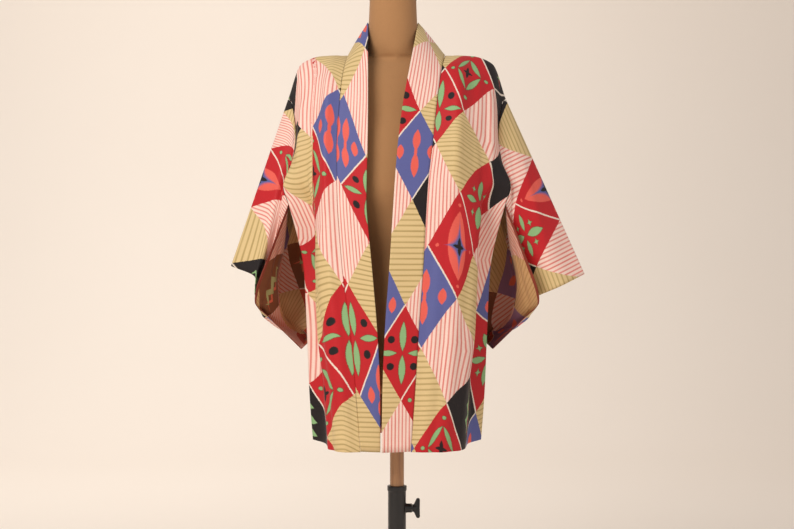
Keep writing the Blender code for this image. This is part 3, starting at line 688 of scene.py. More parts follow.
def sleeve_loop(side):
    """Stations round the sleeve: (drop, facing, inner point, outer point), from the bottom up the
    front layer, over the ridge fold and down the back layer to the bottom again."""
    rows = panel_rows(side)
    last = len(rows) - 1
    steps = row_steps(ARMPIT_ROW, last - ARMPIT_ROW)
    armhole = [panel_point(rows, side, t, 1.0) for t in steps]
    lengths = [0.0]
    for a, b in zip(armhole, armhole[1:]):
        lengths.append(lengths[-1] + (b - a).length)
    top = steps.index(float(len(FRONT) - 1))
    front_scale = ARMHOLE_DROP / lengths[top]
    back_scale = ARMHOLE_DROP / (lengths[-1] - lengths[top])
    inner_front = [(ARMHOLE_DROP, armhole[0])] + [(p.drop, edge_vector(p)) for p in INNER_FRONT]
    bottom = INNER_FRONT[-1]
    inner_back = ([(ARMHOLE_DROP, armhole[-1])]
                  + [(p.drop, edge_vector(p)) for p in reversed(INNER_BACK)]
                  + [(bottom.drop, edge_vector(bottom))])
    free = SLEEVE_DROP - ARMHOLE_DROP
    loop = []
    for k in range(FREE_STEPS):
        drop = SLEEVE_DROP - free * k / FREE_STEPS
        loop.append((drop, -1, by_drop(inner_front, drop)))
    for k, point in enumerate(armhole):
        facing = -1 if k < top else 1
        scale = front_scale if k < top else back_scale
        loop.append((abs(lengths[top] - lengths[k]) * scale, facing, point))
    for k in range(1, FREE_STEPS + 1):
        drop = ARMHOLE_DROP + free * k / FREE_STEPS
        loop.append((drop, 1, by_drop(inner_back, drop)))
    outer = {facing: outer_stations(side, facing) for facing in (-1, 1)}
    return [(d, f, inner, by_drop(outer[f], d)) for d, f, inner in loop]


def between_layers(loop, k):
    """The direction square to the sewn outer side that parts this layer from the other one."""
    last = len(loop) - 1
    k = min(max(k, 1), last - 1)
    inner, outer = loop[k][2], loop[k][3]
    other_inner = loop[last - k][2]
    along_side = loop[k + 1][3] - loop[k - 1][3]
    across = outer - (inner + other_inner) / 2
    square = along_side.cross(across).normalized()
    return square if square.dot(inner - other_inner) > 0 else -square


def sleeve_line(loop, k):
    """The points across the sleeve at one station, from the armhole or free edge outwards."""
    drop, facing, inner, outer = loop[k]
    above_bottom = min(1.0, (SLEEVE_DROP - drop) / 0.05)
    half = BOTTOM_FOLD_HALF + (OUTER_SEAM_HALF - BOTTOM_FOLD_HALF) * above_bottom
    sewn = min(1.0, drop / ARMHOLE_DROP)
    layer_way = Vector((0, facing, 0)).lerp(between_layers(loop, k), sewn)
    outer = outer + layer_way * half * sewn
    start = inner + layer_way * BOTTOM_FOLD_HALF * (1 - above_bottom)
    if drop <= ARMHOLE_DROP + 1e-6:
        seam_way = (loop[(k + 1) % len(loop)][2] - loop[k - 1][2]).normalized()
        along = outer - inner
        away = (along - seam_way * along.dot(seam_way)).normalized()
        start = inner + away * ARMHOLE_GAP
    spread = min(1.0, drop / 0.10)
    line = []
    for c in range(ACROSS_SLEEVE + 1):
        share = c / ACROSS_SLEEVE
        belly = min(SLEEVE_BELLY, (outer - start).length * BELLY_SHARE)
        belly *= math.sin(share * math.pi) * spread * above_bottom
        line.append(start.lerp(outer, share) + layer_way * belly)
    return line


def make_sleeve(name, side, materials):
    """One sheet round the sleeve's front and back, closed along its bottom fold and outer side."""
    loop = sleeve_loop(side)
    columns = ACROSS_SLEEVE + 1
    rows = len(loop)
    points = np.array([sleeve_line(loop, k) for k in range(rows)])
    u = lengths_along(points, 1)
    v = np.array([[-facing * drop] * columns for drop, facing, _, _ in loop])
    inner_far, outer_far = u, u[:, -1:] - u
    below_top = eased(np.abs(v) / 0.03)
    above_bottom = eased((SLEEVE_DROP - np.abs(v)) / 0.05)
    held = eased(inner_far / SLEEVE_HELD) * eased(outer_far / SLEEVE_HELD) * below_top * above_bottom
    room = np.clip(u[:, -1:] / 0.10, 0.2, 1.0)
    lift = (crease_lift(SLEEVE_CREASES[side], u, v) + soft_unevenness(u, v, 6.0 + side)) * held * room
    lift += seam_pucker(inner_far, v, 3.0) * below_top
    points = points + outward_ways(points) * lift[..., None]
    ridge_length = u[rows // 2, -1]
    u, v = woven_place("sleeve_left" if side > 0 else "sleeve_right", ridge_length - outer_far, v)
    corners = grid_corners(rows, columns, u, v, side)
    grid_count = len(corners)
    bottom_step = 2 * BOTTOM_FOLD_HALF
    for j in range(columns - 1):
        ring = [(rows - 1, j), (rows - 1, j + 1), (0, j + 1), (0, j)]
        ring = ring if side > 0 else ring[::-1]
        corners.append([(a * columns + b, u[0, b], v[0, 0] + (bottom_step if a else 0)) for a, b in ring])
    edge = columns - 1
    for a in range(FREE_STEPS):
        mate_a, mate_b = rows - 1 - a, rows - 2 - a
        ring = [(a, 0), (mate_a, 1), (mate_b, 1), (a + 1, 0)]
        ring = ring if side > 0 else ring[::-1]
        height = {a: v[a, 0], mate_a: v[a, 0], mate_b: v[a + 1, 0], a + 1: v[a + 1, 0]}
        corners.append([(r * columns + edge, u[min(r, a + 1), edge] + 2 * OUTER_SEAM_HALF * far, height[r])
                        for r, far in ring])
    made = mesh_object(name, on_side(points, side), corners, materials)
    slots = np.zeros(len(corners), int)
    across = columns - 1
    free = np.r_[0:FREE_STEPS, rows - 1 - FREE_STEPS:rows - 1]
    for row in free:
        slots[row * across:row * across + FREE_EDGE_COLUMNS] = 2
    slots[grid_count:grid_count + FREE_EDGE_COLUMNS] = 2
    made.data.polygons.foreach_set("material_index", slots)
    return walled(made)


def collar_front_edges(side, t):
    """(seam point, free edge point) of the band on one front at control row t, in world places."""
    rows = COLLAR[side]
    seam = Vector((
        smooth_values([r.seam_x for r in rows], t),
        smooth_values([level.middle_y for level in FRONT], t),
        smooth_values([level.height for level in FRONT], t),
    ))
    free = Vector((
        smooth_values([r.edge_x for r in rows], t),
        smooth_values([r.edge_y for r in rows], t),
        smooth_values([level.height + r.edge_lift for level, r in zip(FRONT, rows)], t),
    ))
    return mirrored(seam, side), mirrored(free, side)


def collar_back_edges(turn):
    """The same behind the neck, from the wearer's right shoulder (turn 0) to the left (turn 1)."""
    angle = turn * math.pi
    side = -1 if turn < 0.5 else 1
    seam = mirrored(neckline_point(1 - abs(1 - 2 * turn), side), side)
    free = Vector((
        NECK_CENTRE_X - COLLAR_ROUND_NECK * math.cos(angle),
        NECK_CENTRE_Y + COLLAR_BEHIND_NECK * math.sin(angle),
        COLLAR_TOP,
    ))
    return seam, free


def collar_stations():
    """(seam, free edge) pairs round the collar, and how many of them are on each front."""
    last = len(FRONT) - 1
    front = row_steps(0, last)
    stations = [(*collar_front_edges(-1, t), SEAM_GAP) for t in front]
    stations += [(*collar_back_edges(k / ROUND_NECK_STEPS), CLOTH) for k in range(1, ROUND_NECK_STEPS)]
    stations += [(*collar_front_edges(1, t), SEAM_GAP) for t in reversed(front)]
    made = []
    for k, (seam, free, gap) in enumerate(stations):
        from_end = min(k, len(stations) - 1 - k)
        lifted = min(1.0, max(0.0, (from_end - 0.6 * len(front)) / (0.4 * len(front))))
        along = (free - seam).normalized()
        made.append((seam + along * (gap + (CLOTH + SEAM_GAP) * lifted), free))
    return made, len(front)


def make_collar(name, materials):
    """The doubled band: two faces from the seam to a rounded free edge, plumper in the middle."""
    stations, front_count = collar_stations()
    sheet = np.array([[start.lerp(free, c / ACROSS_COLLAR) for c in range(ACROSS_COLLAR + 1)]
                      for start, free in stations])
    ways = outward_ways(sheet)
    down = lengths_along(sheet, 0)[:, :1]
    middle = down[len(stations) // 2]
    down = np.where(down < middle, down, 2 * middle - down)
    across = lengths_along(sheet, 1)
    width = across[:, -1:]
    ridge_down = down[front_count - 1]
    v = ridge_down - down + 0 * across
    u = across.copy()
    left = np.arange(len(stations)) >= len(stations) // 2
    u[left] = (width - across)[left]
    plump = COLLAR_HALF + COLLAR_PLUMP * np.sin(np.pi * across / width)
    held = eased(across / 0.01) * eased((width - across) / 0.01)
    plump += COLLAR_RIPPLE * np.sin(v * 90 + 3 * u / 0.05) * held
    outer, inner = sheet + ways * plump[..., None], sheet - ways * plump[..., None]
    along = sheet[:, -1] - sheet[:, -2]
    along /= np.linalg.norm(along, axis=1, keepdims=True)
    turns = [math.radians(a) for a in (60, 30, 0, -30, -60)]
    bend = [sheet[:, -1] + (along * math.cos(a) + ways[:, -1] * math.sin(a)) * COLLAR_HALF for a in turns]
    ring = np.concatenate([outer, np.stack(bend, axis=1), inner[:, ::-1]], axis=1)
    sign = np.where(left, -1.0, 1.0)[:, None]
    edge_u = u[:, -1:] + sign * np.array([[0.0004, 0.001, 0.0016, 0.0022, 0.0028]])
    inner_u = u[:, -1:] + sign * (0.003 + width - across[:, ::-1])
    ring_u = np.concatenate([u, edge_u, inner_u], axis=1)
    ring_v = v[:, :1] + 0 * ring_u
    right_place = woven_place("collar_right", ring_u, ring_v)
    left_place = woven_place("collar_left", ring_u, ring_v)
    ring_u, ring_v = [np.where(left[:, None], b, a) for a, b in zip(right_place, left_place)]
    count = ring.shape[1]
    corners, side_of = [], []
    for i in range(len(ring) - 1):
        for j in range(count):
            n = (j + 1) % count
            shift = 0.002 if n == 0 else 0.0
            corner = [(i, j, 0.0), (i, n, shift), (i + 1, n, shift), (i + 1, j, 0.0)]
            corners.append([(a * count + b, ring_u[a, j if moved else b] + moved, ring_v[a, b])
                            for a, b, moved in corner])
            side_of.append(1 if i >= len(stations) // 2 else 0)
    for end, order in ((0, -1), (len(ring) - 1, 1)):
        rim = [(end * count + b, ring_u[end, b], ring_v[end, b]) for b in range(count)]
        corners.append(rim[::order])
        side_of.append(0 if end == 0 else 1)
    made = mesh_object(name, ring.reshape(-1, 3), corners, materials)
    made.data.polygons.foreach_set("material_index", side_of)
    return made


def rounded_profile(corners, parts=5):
    """(radius, height) points through corners of (radius, height, rounding)."""
    made = []
    for k, (radius, height, rounding) in enumerate(corners):
        here = Vector((radius, height))
        if rounding == 0 or k in (0, len(corners) - 1):
            made.append(here)
            continue
        before, after = Vector(corners[k - 1][:2]) - here, Vector(corners[k + 1][:2]) - here
        start = here + before.normalized() * min(rounding, before.length * 0.49)
        end = here + after.normalized() * min(rounding, after.length * 0.49)
        for j in range(parts + 1):
            share = j / parts
            made.append(start.lerp(here, share).lerp(here.lerp(end, share), share))
    return made


def ringed_object(name, rings, materials):
    """A closed skin over rings of points, each ring given with its height along the piece."""
    points, corners, starts = [], [], []
    for ring, _ in rings:
        starts.append(len(points))
        points += ring
    for (low, low_v), (high, high_v), a, b in zip(rings, rings[1:], starts, starts[1:]):
        count = max(len(low), len(high))
        for k in range(count):
            n = (k + 1) % count
            near, far = k / count, (k + 1) / count
            face = [(a + k % len(low), near, low_v), (a + n % len(low), far, low_v),
                    (b + n % len(high), far, high_v), (b + k % len(high), near, high_v)]
            seen = {}
            for corner in face:
                seen.setdefault(corner[0], corner)
            if len(seen) > 2:
                corners.append(list(seen.values()))
    return mesh_object(name, points, corners, materials)


def turned_piece(name, profile, segments, materials, centre_x=0.0):
    """A piece turned about Z; its profile runs up its outside, from the axis to the axis."""
    rings, along = [], 0.0
    for k, (radius, height) in enumerate(profile):
        if k:
            along += (Vector(profile[k]) - Vector(profile[k - 1])).length
        if radius == 0:
            rings.append(([(centre_x, 0.0, height)], along))
            continue
        turns = [2 * math.pi * j / segments for j in range(segments)]
        ring = [(centre_x + radius * math.cos(a), radius * math.sin(a), height) for a in turns]
        rings.append((ring, along))
    return ringed_object(name, rings, materials)


def rounded_power(value, power):
    return math.copysign(abs(value) ** power, value)


def make_form(name, materials):
    """The dress form, a little inside its solid where the cloth lies on it, with the pole's socket."""
    socket = POLE_RADIUS + FIT

    def ring(half_width, front, back, centre_x, pointedness, height):
        points = []
        for k in range(FORM_SEGMENTS):
            angle = 2 * math.pi * k / FORM_SEGMENTS
            depth = back if math.sin(angle) > 0 else front
            points.append((centre_x + half_width * rounded_power(math.cos(angle), pointedness),
                           depth * rounded_power(math.sin(angle), pointedness), height))
        return points

    rings = [([(0.0, 0.0, POLE_SOCKET_TOP)], POLE_SOCKET_TOP),
             (ring(socket, socket, socket, 0.0, 1.0, POLE_SOCKET_TOP), POLE_SOCKET_TOP),
             (ring(socket, socket, socket, 0.0, 1.0, FORM_BOTTOM + 0.002), FORM_BOTTOM),
             (ring(socket + 0.002, socket + 0.002, socket + 0.002, 0.0, 1.0, FORM_BOTTOM), FORM_BOTTOM)]
    for i, (low, high) in enumerate(zip(FORM, FORM[1:])):
        parts = max(1, round((high.height - low.height) / RING_STEP))
        for j in range(parts):
            values = [smooth_values(column, i + j / parts) for column in zip(*FORM)]
            height, half_width, front, back, centre_x, pointedness = values
            from_ends = min(height - TUCK_LOW, TUCK_HIGH - height)
            tuck = TUCK * eased(from_ends / TUCK_FADE)
            rings.append((ring(half_width - tuck, front - tuck, back - tuck, centre_x, pointedness, height),
                          height))
    top = FORM[-1]
    rings.append((ring(*top[1:], NECK_TOP), NECK_TOP))
    rings.append(([(top.centre_x, 0.0, NECK_TOP)], NECK_TOP))
    return ringed_object(name, rings, materials)


def make_neck_cap(name, materials):
    radius = FORM[-1].half_width + 0.001
    low = NECK_TOP + SEAM_GAP
    profile = rounded_profile([(0, low, 0), (radius, low, 0.0015), (radius, low + 0.011, 0.004),
                               (radius - 0.010, low + CAP_THICKNESS, 0.008), (0, low + CAP_THICKNESS, 0)])
    return turned_piece(name, profile, FORM_SEGMENTS, materials, NECK_CENTRE_X)


def make_pole(name, materials):
    profile = rounded_profile([(0, POLE_BOTTOM, 0), (POLE_RADIUS, POLE_BOTTOM, 0.0015),
                               (POLE_RADIUS, POLE_TOP, 0.0015), (0, POLE_TOP, 0)])
    evened = []
    for a, b in zip(profile, profile[1:]):
        parts = max(1, round((b - a).length / 0.02))
        evened += [a.lerp(b, j / parts) for j in range(parts)]
    return turned_piece(name, evened + [profile[-1]], 64, materials)


def joined_by_boolean(target, cutter, operation):
    boolean = target.modifiers.new(cutter.name, "BOOLEAN")
    boolean.operation = operation
    boolean.object = cutter
    settled(target)
    bpy.data.objects.remove(cutter)


def sideways(made, height):
    """Lays a piece that was turned about Z along X, at a height."""
    made.data.transform(Matrix.Translation((0, 0, height)) @ Matrix.Rotation(math.pi / 2, 4, "Y"))
    return made


def make_tube(name, materials):
    """The stand's steel tube with its rolled top edge and the boss of its clamp screw."""
    bore = POLE_RADIUS + FIT
    lip = TUBE_RADIUS + 0.0015
    outside = rounded_profile([(bore, TUBE_BOTTOM, 0), (TUBE_RADIUS, TUBE_BOTTOM, 0.001),
                               (TUBE_RADIUS, TUBE_TOP - 0.012, 0.0015), (lip, TUBE_TOP - 0.010, 0.0015),
                               (lip, TUBE_TOP - 0.001, 0.0015), (bore, TUBE_TOP, 0.0008),
                               (bore, TUBE_BOTTOM, 0)])
    tube = turned_piece(name, outside, 72, materials)
    bm = bmesh.new()
    bm.from_mesh(tube.data)
    bmesh.ops.remove_doubles(bm, verts=bm.verts, dist=1e-6)
    bmesh.ops.recalc_face_normals(bm, faces=bm.faces)
    bm.to_mesh(tube.data)
    bm.free()
    boss = rounded_profile([(0, 0.016, 0), (BOSS_RADIUS + 0.001, 0.016, 0), (BOSS_RADIUS, 0.021, 0.002),
                            (BOSS_RADIUS, BOSS_REACH, 0.0012), (0, BOSS_REACH, 0)])
    boss = sideways(turned_piece("clamp_boss", boss, 48, materials), CLAMP_HEIGHT)
    joined_by_boolean(tube, boss, "UNION")
    hole = [(0, 0.010), (SCREW_RADIUS + FIT, 0.010), (SCREW_RADIUS + FIT, 0.04), (0, 0.04)]
    hole = sideways(turned_piece("screw_hole", hole, 32, materials), CLAMP_HEIGHT)
    joined_by_boolean(tube, hole, "DIFFERENCE")
    tube.data.set_sharp_from_angle(angle=0.7)
    return tube


def make_knob(name, materials):
    """The clamp's wing screw: a threaded shank, a hub and two rounded wings."""
    start = POLE_RADIUS + 2 * FIT
    hub = BOSS_REACH + FIT
    root = SCREW_RADIUS - THREAD_DEPTH
    thread = []
    x = start
    while x < hub - THREAD_PITCH:
        thread += [(root, x, 0), (SCREW_RADIUS, x + THREAD_PITCH / 2, 0)]
        x += THREAD_PITCH
    profile = rounded_profile([(0, start, 0), *thread, (root, hub, 0), (0.0078, hub, 0.0010),
                               (0.0070, hub + 0.006, 0.002), (0.0052, hub + SCREW_HEAD, 0.003),
                               (0, hub + SCREW_HEAD, 0)], parts=4)
    knob = sideways(turned_piece(name, profile, 48, materials), CLAMP_HEIGHT)
    half = WING_HEIGHT / 2
    upper = [(0.0015, 0.0), (0.0020, 0.0062), (0.0040, 0.0088), (0.0062, half * 0.68),
             (0.0086, half * 0.93), (0.0116, half), (0.0146, half * 0.95), (0.0157, half * 0.80),
             (0.0155, half * 0.40), (0.0152, 0.0)]
    bm = bmesh.new()
    outline = upper + [(x, -z) for x, z in reversed(upper[1:-1])]
    verts = [bm.verts.new((hub + x, -WING_THICKNESS / 2, CLAMP_HEIGHT + z)) for x, z in outline]
    grown = bmesh.ops.extrude_face_region(bm, geom=[bm.faces.new(verts)])
    moved = [v for v in grown["geom"] if isinstance(v, bmesh.types.BMVert)]
    bmesh.ops.translate(bm, verts=moved, vec=(0, WING_THICKNESS, 0))
    bmesh.ops.recalc_face_normals(bm, faces=bm.faces)
    mesh = bpy.data.meshes.new("screw_wings")
    bm.to_mesh(mesh)
    bm.free()
    wings = bpy.data.objects.new("screw_wings", mesh)
    bpy.context.scene.collection.objects.link(wings)
    bevel = wings.modifiers.new("Rounding", "BEVEL")
    bevel.width, bevel.segments, bevel.limit_method = WING_ROUNDING, 4, "ANGLE"
    bevel.angle_limit = 0.9
    settled(wings)
    joined_by_boolean(knob, wings, "UNION")
    knob.data.materials.clear()
    knob.data.materials.append(materials[0])
    knob.data.shade_smooth()
    knob.data.set_sharp_from_angle(angle=0.8)
    return knob


def make_base(name, materials):
    """The round foot, crowned towards the hub that holds the tube."""
    bore = TUBE_RADIUS + FIT
    profile = rounded_profile([(0, 0, 0), (BASE_RADIUS, 0, 0.0015), (BASE_RADIUS, BASE_EDGE, 0.004),
                               (BASE_HUB_RADIUS * 2, BASE_EDGE + 0.003, 0.03),
                               (BASE_HUB_RADIUS, BASE_CROWN, 0.012), (bore + 0.004, BASE_HUB_TOP, 0.003),
                               (bore, BASE_HUB_TOP, 0.0015), (bore, TUBE_BOTTOM - FIT, 0),
                               (0, TUBE_BOTTOM - FIT, 0)], parts=6)
    return turned_piece(name, profile, 160, materials)


def srgb(red, green, blue):
    """A colour as seen on a screen, 0 to 255, as the light it stands for."""
    def light(value):
        value /= 255
        return value / 12.92 if value <= 0.04045 else ((value + 0.055) / 1.055) ** 2.4
    return (light(red), light(green), light(blue), 1.0)


class Number:
    """A number in a finish. Arithmetic on it adds Math nodes."""

    def __init__(self, finish, socket):
        self.finish, self.socket = finish, socket

    def maths(self, operation, *others, clamp=False):
        inputs = dict(enumerate((self, *others)))
        settings = {"operation": operation, "use_clamp": clamp}
        return Number(self.finish, self.finish.node("ShaderNodeMath", settings, inputs))

    def __add__(self, other):
        return self.maths("ADD", other)

    def __sub__(self, other):
        return self.maths("SUBTRACT", other)

    def __rsub__(self, other):
        return (self * -1) + other

    def __mul__(self, other):
        return self.maths("MULTIPLY", other)

    def __truediv__(self, other):
        return self.maths("DIVIDE", other)

    def __abs__(self):
        return self.maths("ABSOLUTE")

    __radd__, __rmul__ = __add__, __mul__

    def soft(self, width):
        """0 to 1 as the number rises through 0, over a width."""
        return (self / width).maths("ADD", 0.5, clamp=True)

    def at_most(self, other):
        return self.maths("MINIMUM", other)

    def at_least(self, other):
        return self.maths("MAXIMUM", other)

    def wrapped(self, size):
        return self.maths("FLOORED_MODULO", size)


class Finish:
    """A material under construction and the calls that add to it."""

    def __init__(self, name, on_cloth=False):
        self.on_cloth = on_cloth
        self.material = bpy.data.materials.new(name)
        self.material.use_nodes = True
        self.tree = self.material.node_tree
        self.tree.nodes.clear()

    def node(self, kind, settings=None, inputs=None, output=0):
        """Adds a node, with its settings first and then its sockets' values or links."""
        made = self.tree.nodes.new(kind)
        for key, value in (settings or {}).items():
            if key == "stops":
                self.set_stops(made.color_ramp, value)
            else:
                setattr(made, key, value)
        for key, value in (inputs or {}).items():
            value = value.socket if isinstance(value, Number) else value
            if isinstance(value, bpy.types.NodeSocket):
                self.tree.links.new(value, made.inputs[key])
            else:
                made.inputs[key].default_value = value
        return made.outputs[output]

    @staticmethod
    def set_stops(ramp, stops):
        """Stops are (place, colour) pairs, held until the next one."""
        ramp.interpolation = "CONSTANT"
        while len(ramp.elements) < len(stops):
            ramp.elements.new(1.0)
        for element, (place, colour) in zip(ramp.elements, stops):
            element.position = place
            element.color = colour

    def number(self, *arguments, **words):
        return Number(self, self.node(*arguments, **words))

    def mixed(self, share, under, over):
        return self.node("ShaderNodeMix", {"data_type": "RGBA"}, {0: share, 6: under, 7: over}, output=2)

    def place(self, scale=(1, 1, 1), shift=(0, 0, 0)):
        """Coordinates on the cloth or in the object, scaled and shifted."""
        if self.on_cloth:
            source = self.node("ShaderNodeUVMap", {"uv_map": "cloth"})
        else:
            source = self.node("ShaderNodeTexCoord", output=3)
        return self.node("ShaderNodeMapping", None, {"Vector": source, "Scale": scale, "Location": shift})

    def noise(self, scale, detail, shift=(0, 0, 0)):
        """Soft random values from 0 to 1, with about scale features to a metre each way."""
        inputs = {"Vector": self.place(scale, shift), "Scale": 1.0, "Detail": detail}
        return self.number("ShaderNodeTexNoise", None, inputs)

    def parts(self, vector):
        node = self.tree.nodes.new("ShaderNodeSeparateXYZ")
        self.tree.links.new(vector, node.inputs[0])
        return [Number(self, output) for output in node.outputs]

    def surface(self, colour, roughness, height, bump, depth, **constants):
        """Ends the finish with its shader. Constants are socket names with _ for spaces."""
        relief = self.node("ShaderNodeBump", None, {"Strength": bump, "Distance": depth, "Height": height})
        inputs = {"Base Color": colour, "Roughness": roughness, "Normal": relief}
        inputs.update({key.replace("_", " "): value for key, value in constants.items()})
        shader = self.node("ShaderNodeBsdfPrincipled", None, inputs)
        out = self.tree.nodes.new("ShaderNodeOutputMaterial")
        self.tree.links.new(shader, out.inputs["Surface"])
        return self.material


# The print's colours
RED = srgb(196, 26, 36)
BLUE = srgb(92, 98, 158)
YELLOW = srgb(226, 197, 143)
OLIVE = srgb(168, 142, 84)
PINK = srgb(252, 220, 206)
ROSE = srgb(228, 128, 118)
BLACK = srgb(20, 18, 22)
GREEN = srgb(144, 186, 128)
DARK_GREEN = srgb(64, 62, 40)
CORAL = srgb(236, 98, 84)
CREAM = srgb(244, 228, 212)
# Mixed into the reverse: partly the silk's duller back, partly painted shade
REVERSE_DULL_AND_SHADE = srgb(176, 104, 60)

# The kinds of lozenge by letter, each with its ground colour, in the order of the chart's shades.
GROUNDS = {"P": PINK, "Y": YELLOW, "B": BLUE, "D": RED, "F": RED, "S": RED, "L": RED, "K": BLACK}
KINDS = list(GROUNDS)
# The charts: for each column of the lattice, its lozenges from the shoulder fold down. Even columns
# have theirs at even half rows, odd columns between them.
CHARTS = {
    "front_right": ["YBPDY", "PFYFD", "PYFPK", "KPFYK"],
    "front_left": ["YDPBY", "FYLPF", "KPSYK", "KKPSB"],
    "collar_right": ["YBPDY", "PDYBB", "KYFPY", "YPSYB"],
    "collar_left": ["PBYDP", "YKPFY", "YPFKP", "DPBYY"],
    "sleeve_right": ["PBP", "FYP", "LPY", "PKB", "YFP", "KYS", "KPY", "YKP"],
    "sleeve_left": ["YDP", "PDP", "LPY", "SYP", "PKB", "YPF", "KYS", "KDP"],
}
CHARTS["gusset_right"] = CHARTS["front_right"]
CHARTS["gusset_left"] = CHARTS["front_left"]
# How far the blue lozenges' coral lobes stand off their middle, where a seam runs through it
LOBE_SHIFTS = {"front_right": 0.0100, "collar_right": 0.0100}
# About how far a lozenge's edge is from its middle, and the spacing of the two stripes
EDGE_FAR = 0.0473
ROSE_PITCH = 0.0069
OLIVE_PITCH = 0.0096


def chart_stops(chart):
    """The chart's lozenges as stops of a ramp, each letter held as its own shade of alpha."""
    cells = "".join(chart)
    return [(k / len(cells), (0, 0, 0, KINDS.index(kind) / len(KINDS))) for k, kind in enumerate(cells)]


def leaf(along, across, start, end, half_width):
    """Above 0 inside a leaf that runs from start to end, all in metres."""
    middle, half = (start + end) / 2, (end - start) / 2
    run = (along - middle) / half
    return (1 - run * run) * half_width - abs(across)


def dot(x, y, centre_x, centre_y, radius):
    """Above 0 inside a round dot."""
    dx, dy = x - centre_x, y - centre_y
    return radius - (dx * dx + dy * dy).maths("SQRT")


def star(x, y, reach_x, reach_y):
    """Above 0 inside a four-pointed star."""
    root_x, root_y = (abs(x) / reach_x).maths("SQRT"), (abs(y) / reach_y).maths("SQRT")
    return (1 - root_x - root_y) * 0.006


def kind_at(finish, chart, column, row):
    """The shade of the chart's lozenge at a column and a half row. The chart repeats both ways."""
    columns, rows = len(chart), 2 * len(chart[0])
    cell = (column + 0.25).wrapped(columns).maths("FLOOR") * (rows // 2)
    cell = cell + ((row + 0.25).wrapped(rows) * 0.5).maths("FLOOR")
    place = (cell + 0.5) / (columns * rows // 2)
    return finish.number("ShaderNodeValToRGB", {"stops": chart_stops(chart)}, {0: place}, output=1)


def print_coordinates(finish, seed):
    """The lozenge under each point: its column and row, and the place in it from -1 to 1. Each
    thread slips a little, so that the edges feather as they do in tied and dyed cloth."""
    slip = finish.noise((90, 1400, 1), 1.0, (seed, 0, 0)) - 0.5
    sway = finish.noise((16, 11, 1), 2.0, (0, seed, 0)) - 0.5
    rise = finish.noise((700, 60, 1), 1.0, (0, 0, seed)) - 0.5
    u, v, _ = finish.parts(finish.place())
    across = (u + slip * 0.0026 + sway * 0.0032) / HALF_ACROSS
    along = (v + rise * 0.0022 + sway * 0.0028) / HALF_ALONG
    first = ((across + along) * 0.5).maths("ROUND")
    second = ((across - along) * 0.5).maths("ROUND")
    column, row = first + second, first - second
    return u, v, column, row, across - column, along - row


